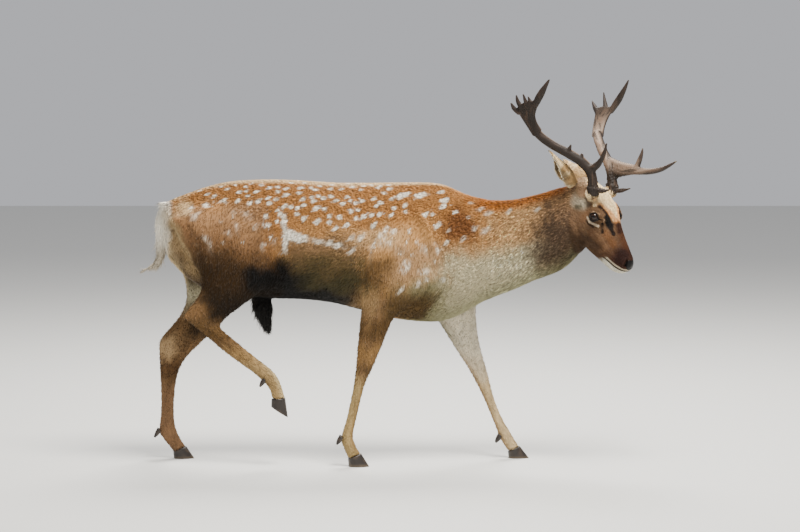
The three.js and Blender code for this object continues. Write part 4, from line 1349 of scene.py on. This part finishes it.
def tube(path, radii, sides, closed=False):
    """Points and faces of a round tube along a path. It ends in points unless it is closed."""
    path = np.asarray(path, float)
    ahead = np.roll(path, -1, axis=0) - np.roll(path, 1, axis=0)
    if not closed:
        ahead[0], ahead[-1] = path[1] - path[0], path[-1] - path[-2]
    ahead = unit(ahead)
    across = np.empty_like(path)
    across[0] = unit(np.cross(ahead[0], [0.3, 0.2, 1.0]))
    for k in range(1, len(path)):
        across[k] = unit(across[k - 1] - ahead[k] * (across[k - 1] @ ahead[k]))
    up = np.cross(ahead, across)
    turn = np.arange(sides) / sides * 2 * np.pi
    cosine, sine = np.cos(turn)[None, :, None], np.sin(turn)[None, :, None]
    ring = cosine * across[:, None] + sine * up[:, None]
    points = path[:, None] + ring * np.asarray(radii)[:, None, None]
    faces = []
    rings = len(path)
    for k in range(rings if closed else rings - 1):
        after = (k + 1) % rings
        for j in range(sides):
            beside = (j + 1) % sides
            a, b = k * sides + j, k * sides + beside
            c, d = after * sides + beside, after * sides + j
            faces += [(a, b, c), (a, c, d)]
    return points.reshape(-1, 3), np.array(faces)


def make_eyeball(eye):
    """The eyeball, with a bulging cornea, and its pupil and iris painted on."""
    steps, rings = 64, 40
    away = np.radians(np.linspace(0, 180, rings + 1))[1:-1]
    turn = np.arange(steps) / steps * 2 * np.pi
    radius = (EYE_RADIUS - 0.2 * MM) * (1 + 0.035 * ease(np.degrees(away), 44, 22))
    local = np.stack([
        np.outer(np.cos(away), np.ones(steps)),
        np.outer(np.sin(away), np.cos(turn)),
        np.outer(np.sin(away), np.sin(turn))], axis=-1) * radius[:, None, None]
    local = np.vstack([[[EYE_RADIUS * 1.03, 0, 0]], local.reshape(-1, 3), [[-EYE_RADIUS, 0, 0]]])
    axes = np.array([eye.out, eye.front, eye.up])
    points = eye.centre + local @ axes
    faces = []
    last = len(points) - 1
    for j in range(steps):
        beside = (j + 1) % steps
        faces.append((0, 1 + j, 1 + beside))
        faces.append((last, 1 + (rings - 2) * steps + beside, 1 + (rings - 2) * steps + j))
        for k in range(rings - 2):
            a, b = 1 + k * steps + j, 1 + k * steps + beside
            faces += [(a, a + steps, b + steps), (a, b + steps, b)]
    faces = np.array(faces)
    if eye.side == "right":
        faces = faces[:, ::-1]
    obj = mesh_object("eyeball_" + eye.side, points, faces)
    along, up, _ = eye.angles(points)
    pupil = np.hypot(along / PUPIL_HALF[0], up / PUPIL_HALF[1])
    off_axis = np.degrees(np.arccos(np.clip(unit(points - eye.centre) @ eye.out, -1, 1)))
    around = np.arctan2(up, along)
    fibres = 0.5 + 0.25 * np.sin(around * 37) + 0.25 * np.sin(around * 61 + 1)
    tones = mix(painted("#2e1b0e", points), "#1a0f08", 1 - fibres)
    tones = mix(tones, "#120a06", ease(off_axis, IRIS_REACH - 12, IRIS_REACH - 2))
    tones = mix(tones, "#020202", ease(pupil, 1.15, 0.9))
    tones = mix(tones, "#3a2a22", ease(off_axis, IRIS_REACH + 2, IRIS_REACH + 12))
    store_colour(obj.data, tones)
    finished(obj, EYE_GLOSS, "eye", "eye_" + eye.side)


def on_lid(eye, along, up, reach):
    """A place at these degrees round the eyeball, this far from its middle."""
    direction = unit(eye.out + eye.front * math.tan(math.radians(along))
                     + eye.up * math.tan(math.radians(up)))
    return eye.centre + direction * reach


def slit_edge(turn):
    """Degrees along and up to the slit's edge, by an angle that runs once round it."""
    c, s = math.cos(turn), math.sin(turn)
    height = (1 - abs(c) ** SLIT_POINTED) ** 0.8
    return EYE_SLIT_HALF * c, math.copysign(height, s) * (EYE_SLIT_HIGH if s > 0 else EYE_SLIT_LOW)


def make_lid_rims(eye):
    """The bare dark rim of both lids, with the tear duct at the front corner."""
    path, radii = [], []
    steps = 72
    for k in range(steps):
        turn = k / steps * 2 * math.pi
        along, up = slit_edge(turn)
        corner = ease(np.array(math.degrees(abs(math.remainder(turn, 2 * math.pi)))), 30, 4)
        path.append(on_lid(eye, along + 7 * corner, up - 4 * corner, EYE_RADIUS + 0.9 * MM))
        radii.append((1.5 + 0.5 * (up > 0) + 0.5 * corner) * MM)
    points, faces = tube(path, radii, 8, closed=True)
    if eye.side == "right":
        faces = faces[:, ::-1]
    obj = mesh_object("lid_rims_" + eye.side, points, faces)
    finished(obj, BARE_SKIN, "nose")


LASH_ROWS = ((1, 46, 10), (-1, 26, 5))    # up or down, how many, how long in mm


def make_lashes(eye, rng):
    """Long lashes on the upper lid and short ones on the lower."""
    parts = []
    for row, count, length in LASH_ROWS:
        for k in range(count):
            turn = row * math.radians(24 + 128 * (k + rng.uniform(0.2, 0.8)) / count)
            along, up = slit_edge(turn)
            root = on_lid(eye, along, up, EYE_RADIUS + 1.8 * MM)
            out = unit(eye.out * 0.75 + eye.up * 0.5 * row + eye.front * along * 0.012
                       + 0.1 * rng.normal(size=3))
            long = length * MM * rng.uniform(0.7, 1.15)
            bend = eye.up * row * long * 0.22 - eye.out * long * 0.05
            path = [root - out * MM, root + out * long * 0.5, root + out * long * 0.92 + bend]
            parts.append(tube(path, [0.42 * MM, 0.3 * MM, 0.04 * MM], 3))
    points, faces = joined_arrays(parts)
    obj = mesh_object("lashes_" + eye.side, points, faces)
    store_colour(obj.data, painted("#0d0906", points))
    finished(obj, COAT, "coat")
    flat_unwrap(obj, points)


def joined_arrays(parts):
    points, faces, start = [], [], 0
    for some_points, some_faces in parts:
        points.append(some_points)
        faces.append(some_faces + start)
        start += len(some_points)
    return np.vstack(points), np.vstack(faces)


def flat_unwrap(obj, points):
    """OFBake for a piece of hairs that are all of one colour."""
    faces = triangles_of(obj.data)
    at = 0.9 + (points - points.min(axis=0))[:, :2] * 0.5
    layer = obj.data.uv_layers.new(name="OFBake")
    layer.data.foreach_set("uv", at[faces.ravel()].astype(np.float32).ravel())


# ---- The nose's bare skin ----

def make_nose():
    share = nose_share(skin.points)
    chosen = np.nonzero((share[skin.triangles] > 0.02).all(axis=1))[0]
    used, faces = np.unique(skin.triangles[chosen], return_inverse=True)
    rise = (0.9 * ease(share[used], 0.02, 0.9) - 0.4) * MM
    points = skin.points[used] + skin.normals[used] * rise[:, None]
    obj = mesh_object("nose", points, faces.reshape(-1, 3))
    finished(obj, NOSE, "nose")


# ---- Antlers ----

ANTLER_PARTS = ("beam", "brow_tine", "base_tine", "palm", "top_tine")
ANTLER_VOXEL = 2.1 * MM
FILLET_ROUNDS = 36
SHRINK_AND_SWELL = (0.55, -0.58)   # smoothing that leaves the branches as thick as they were


def filleted(net, points, triangles, rounds):
    """Corners where branches meet are filled out round, and sharp edges worn down a little."""
    for _ in range(rounds):
        normals = corner_normals(points, triangles)
        pull = net.mean(points) - points
        inward = (pull * normals).sum(axis=1)[:, None]
        points = points + normals * (0.7 * np.maximum(inward, 0) + 0.06 * np.minimum(inward, 0))
        points = points + 0.3 * (pull - normals * inward)
    return points


def grain(net, normals, guide):
    """The way the surface runs on unchanged at each point: along its branch."""
    outer = (normals[:, :, None] * normals[:, None, :]).reshape(-1, 9)
    outer = net.smooth(outer, 16).reshape(-1, 3, 3)
    axis = np.linalg.eigh(outer)[1][:, :, 0]
    axis = axis * np.where((axis * guide).sum(axis=1) < 0, -1, 1)[:, None]
    return on_surface(net.smooth(axis, 8), normals)


def streaks(net, points, axis, rng, soften, rounds):
    """Chance values drawn out along 'axis' into long streaks, with a spread of one."""
    edge = unit(points[net.b] - points[net.a])
    weight = (np.abs((edge * axis[net.a]).sum(axis=1)) ** 6
              + np.abs((edge * axis[net.b]).sum(axis=1)) ** 6 + 0.004)
    total = np.bincount(net.a, weight, net.count) + np.bincount(net.b, weight, net.count)
    value = net.smooth(rng.normal(size=net.count), soften)
    for _ in range(rounds):
        value = (np.bincount(net.a, weight * value[net.b], net.count)
                 + np.bincount(net.b, weight * value[net.a], net.count)) / total
    return (value - value.mean()) / value.std()


def make_antler(side, rng):
    hand = 1 if side == "left" else -1
    nodes = [f"antler_{side}_{part}" for part in ANTLER_PARTS]
    rough = smooth_copy(nodes, swell=1.1 * MM)
    for along, out, up, radius in (ANTLER_ROOT, *ANTLER_FILLING[side]):
        add_ball(rough, on_head(along, hand * out, up), radius * MM)
    mesh = remeshed(rough, ANTLER_VOXEL)
    net, triangles = Net(mesh), triangles_of(mesh)
    points = filleted(net, points_of(mesh), triangles, FILLET_ROUNDS)
    for amount in SHRINK_AND_SWELL * 6:
        points = points + (net.mean(points) - points) * amount
    normals = corner_normals(points, triangles)
    root = on_head(36, hand * 53.5, 37)
    rising = unit(on_head(24, hand * 54.3, 48) - root)
    axis = grain(net, normals, unit(points - on_head(60, hand * 50, 0)))
    fine = streaks(net, points, axis, rng, 0, 26)
    broad = streaks(net, points, axis, rng, 3, 70)
    blur = net.smooth(normals, 24)
    thin = 1 - np.linalg.norm(blur, axis=1)
    height = far(points, root)
    low = ease(height, 260 * MM, 40 * MM)
    worn = ease(thin, 0.30, 0.62)
    rough_amount = (0.35 + 0.65 * low) * (1 - 0.85 * worn)
    rise = (0.26 * fine + 0.5 * broad) * rough_amount
    pearls = np.maximum(ripple(points, 0.0065, 71) - 0.35, 0) * ease(height, 120 * MM, 24 * MM)
    rise = rise + 1.7 * pearls * (1 - 0.8 * worn)
    up = (points - root) @ rising
    ring = hump(up, 7 * MM) * (height < 45 * MM)
    rise = rise + ring * (2.4 + 1.6 * ripple(points, 0.007, 72))
    points = points + normals * (rise * MM)[:, None]
    put_points(mesh, points)
    mesh.shade_smooth()
    mesh.name = "antler_" + side
    obj = placed("antler_" + side + "_bone", mesh)
    # The beams' inner sides: partly the bone's own paler colour, partly painted light on the lit
    # inner side.
    inner = ease(normals @ (HEAD_OUT * -hand), -0.25, 0.55) * ease(height, 30 * MM, 90 * MM)
    ahead = (points - root) @ LEVEL_AHEAD
    inner = inner * ease(height, 330 * MM, 215 * MM) * (1 - 0.8 * ease(ahead, 90 * MM, 150 * MM))
    store_colour(mesh, antler_tones(points, normals, inner, broad, thin))
    finished(obj, ANTLER, "antler", *nodes)


def antler_tones(points, normals, inner, broad, thin):
    """Dark bone, browner where the beams face each other (partly the bone's own colour, partly
    painted light), painted shade on the undersides, and pale tips and streaks.
    """
    tones = painted("#221913", points)
    tones = mix(tones, "#826d5c", 0.88 * inner)
    # Painted shade on the undersides.
    tones = mix(tones, "#1f1711", 0.65 * ease(normals[:, 2], -0.2, -0.8))
    tones = mix(tones, "#6d5442", (0.2 + 0.3 * inner) * ease(broad, 0.2, 1.8))
    tones = mix(tones, "#1c140e", 0.7 * ease(broad, -0.3, -1.5))
    tones = mix(tones, "#2b2019", 0.85 * ease(thin, 0.10, 0.26))
    return mix(tones, "#cbb58a", 0.9 * ease(thin, 0.62, 0.82))


# Balls (along, out, up and radius, in mm) at the foot and in the corners between the branches.
ANTLER_ROOT = (54, 48, 12, 12)
ANTLER_FILLING = {
    "right": [(-14, 60, 74, 15)],
    "left": [(6, 66, 84, 13), (22, 68, 104, 12), (34, 69, 120, 11), (-8, 64, 70, 14)],
}


# ---- Hooves ----

def make_hooves():
    for limb in ("fore_right", "fore_left", "hind_right", "hind_left"):
        for kind in ("hoof", "dewclaw"):
            nodes = [f"{kind}_{limb}_{place}" for place in ("outer", "inner")]
            mesh = smooth_copy(nodes, swell=0.0, levels=3, sharp=math.radians(38))
            mesh.name = f"{kind}s_{limb}"
            mesh.shade_smooth()
            obj = placed(mesh.name, mesh)
            points = points_of(mesh)
            tones = painted("#241d18", points)
            tones = mix(tones, "#4b3d30", 0.5 * ease(ripple(points, 0.02, 81), 0, 1.4))
            dusty = ease(points[:, 2], 12 * MM, 2 * MM)
            store_colour(mesh, mix(tones, "#6a5a46", 0.45 * dusty))
            finished(obj, HOOF, "hoof", *nodes)


# ---- Materials of horn, bone, eye and bare skin ----

def eye_material():
    nodes = Nodes("eye", Roughness=0.06, Specular_IOR_Level=0.34, Coat_Weight=0.10,
                  Coat_Roughness=0.03)
    nodes.tinted("coat", nodes.noise(900, (1, 1, 1), 3), 0.8, 1.2)
    return nodes.material


def bare_skin_material(name, base, rough, cell, depth):
    """Black skin with a fine cobbled grain."""
    nodes = Nodes(name, Roughness=rough, Specular_IOR_Level=0.18)
    where = nodes.add("ShaderNodeTexCoord")
    cells = nodes.add("ShaderNodeTexVoronoi", Scale=cell)
    nodes.join(where.outputs["Object"], cells.inputs["Vector"])
    nodes.bump(cells.outputs["Distance"], 0.8, depth)
    ramp = nodes.add("ShaderNodeValToRGB")
    ramp.color_ramp.elements[0].color = (*(base * 1.5), 1)
    ramp.color_ramp.elements[1].color = (*(base * 0.5), 1)
    nodes.join(cells.outputs["Distance"], ramp.inputs["Fac"])
    nodes.join(ramp.outputs["Color"], nodes.shader.inputs["Base Color"])
    return nodes.material


def bone_material():
    nodes = Nodes("antler", Roughness=0.6, Specular_IOR_Level=0.3)
    pores = nodes.noise(700, (1, 1, 1), 5)
    nodes.tinted("coat", pores, 0.78, 1.2)
    nodes.bump(pores, 0.5, 0.0006)
    return nodes.material


def horn_material():
    nodes = Nodes("hoof", Roughness=0.42, Specular_IOR_Level=0.5)
    rings = nodes.noise(150, (1, 1, 5), 4)
    nodes.tinted("coat", rings, 0.7, 1.3)
    nodes.bump(rings, 0.6, 0.0008)
    return nodes.material


EYE_GLOSS = eye_material()
BARE_SKIN = bare_skin_material("lid_rims", colour("#17100c"), 0.35, 900, 0.0003)
NOSE = bare_skin_material("nose", colour("#0d0b0b"), 0.42, 640, 0.0005)
ANTLER = bone_material()
HOOF = horn_material()
for one_eye in BOTH_EYES:
    make_eyeball(one_eye)
    make_lid_rims(one_eye)
    make_lashes(one_eye, RANDOM)
    make_antler(one_eye.side, RANDOM)
make_nose()
make_hooves()


# ---- Stage, light and camera ----

FLOOR_HALF = 9.0                   # metres from its middle to each side
LIGHT_SIZE = 1.8                   # metres along a side of each lamp


def floor():
    corners = np.array([[-1, -1, 0], [1, -1, 0], [1, 1, 0], [-1, 1, 0]]) * FLOOR_HALF
    obj = mesh_object("floor", corners, np.array([[0, 1, 2, 3]]))
    pale = Nodes("floor", Base_Color=(0.62, 0.62, 0.60, 1), Roughness=0.9)
    obj.data.materials.append(pale.material)


def area_light(name, place, target, power, tint):
    data = bpy.data.lights.new(name, "AREA")
    data.shape = "SQUARE"
    data.size = LIGHT_SIZE
    data.energy = power
    data.color = tint
    obj = placed(name, data)
    obj.location = place
    obj.rotation_euler = (Vector(target) - Vector(place)).to_track_quat("-Z", "Y").to_euler()


def lights():
    world = bpy.data.worlds.new("studio")
    world.use_nodes = True
    background = world.node_tree.nodes["Background"]
    background.inputs["Color"].default_value = (0.94, 0.95, 1.0, 1)
    background.inputs["Strength"].default_value = 0.55
    bpy.context.scene.world = world
    area_light("key", (0.9, -1.7, 4.4), (0, 0, 0.6), 490, (1.0, 0.96, 0.89))
    area_light("rim", (0.2, 2.4, 3.6), (0, 0, 0.8), 280, (1.0, 0.97, 0.92))


CAMERA_TARGET = np.array([192, 0, 634]) * MM + PART_SHIFT
CAMERA_DISTANCE = 15.0
VIEW_WIDTH = 2.56                  # metres across the picture at the target
SENSOR = 36.0


def camera():
    data = bpy.data.cameras.new("camera")
    data.sensor_width = SENSOR
    data.lens = SENSOR * CAMERA_DISTANCE / VIEW_WIDTH
    data.clip_end = 100
    obj = placed("camera", data)
    back = np.array([0, -math.cos(LOOKING_DOWN), math.sin(LOOKING_DOWN)])
    obj.location = Vector(CAMERA_TARGET + back * CAMERA_DISTANCE)
    obj.rotation_euler = (math.pi / 2 - LOOKING_DOWN, 0, 0)
    bpy.context.scene.camera = obj


floor()
lights()
camera()
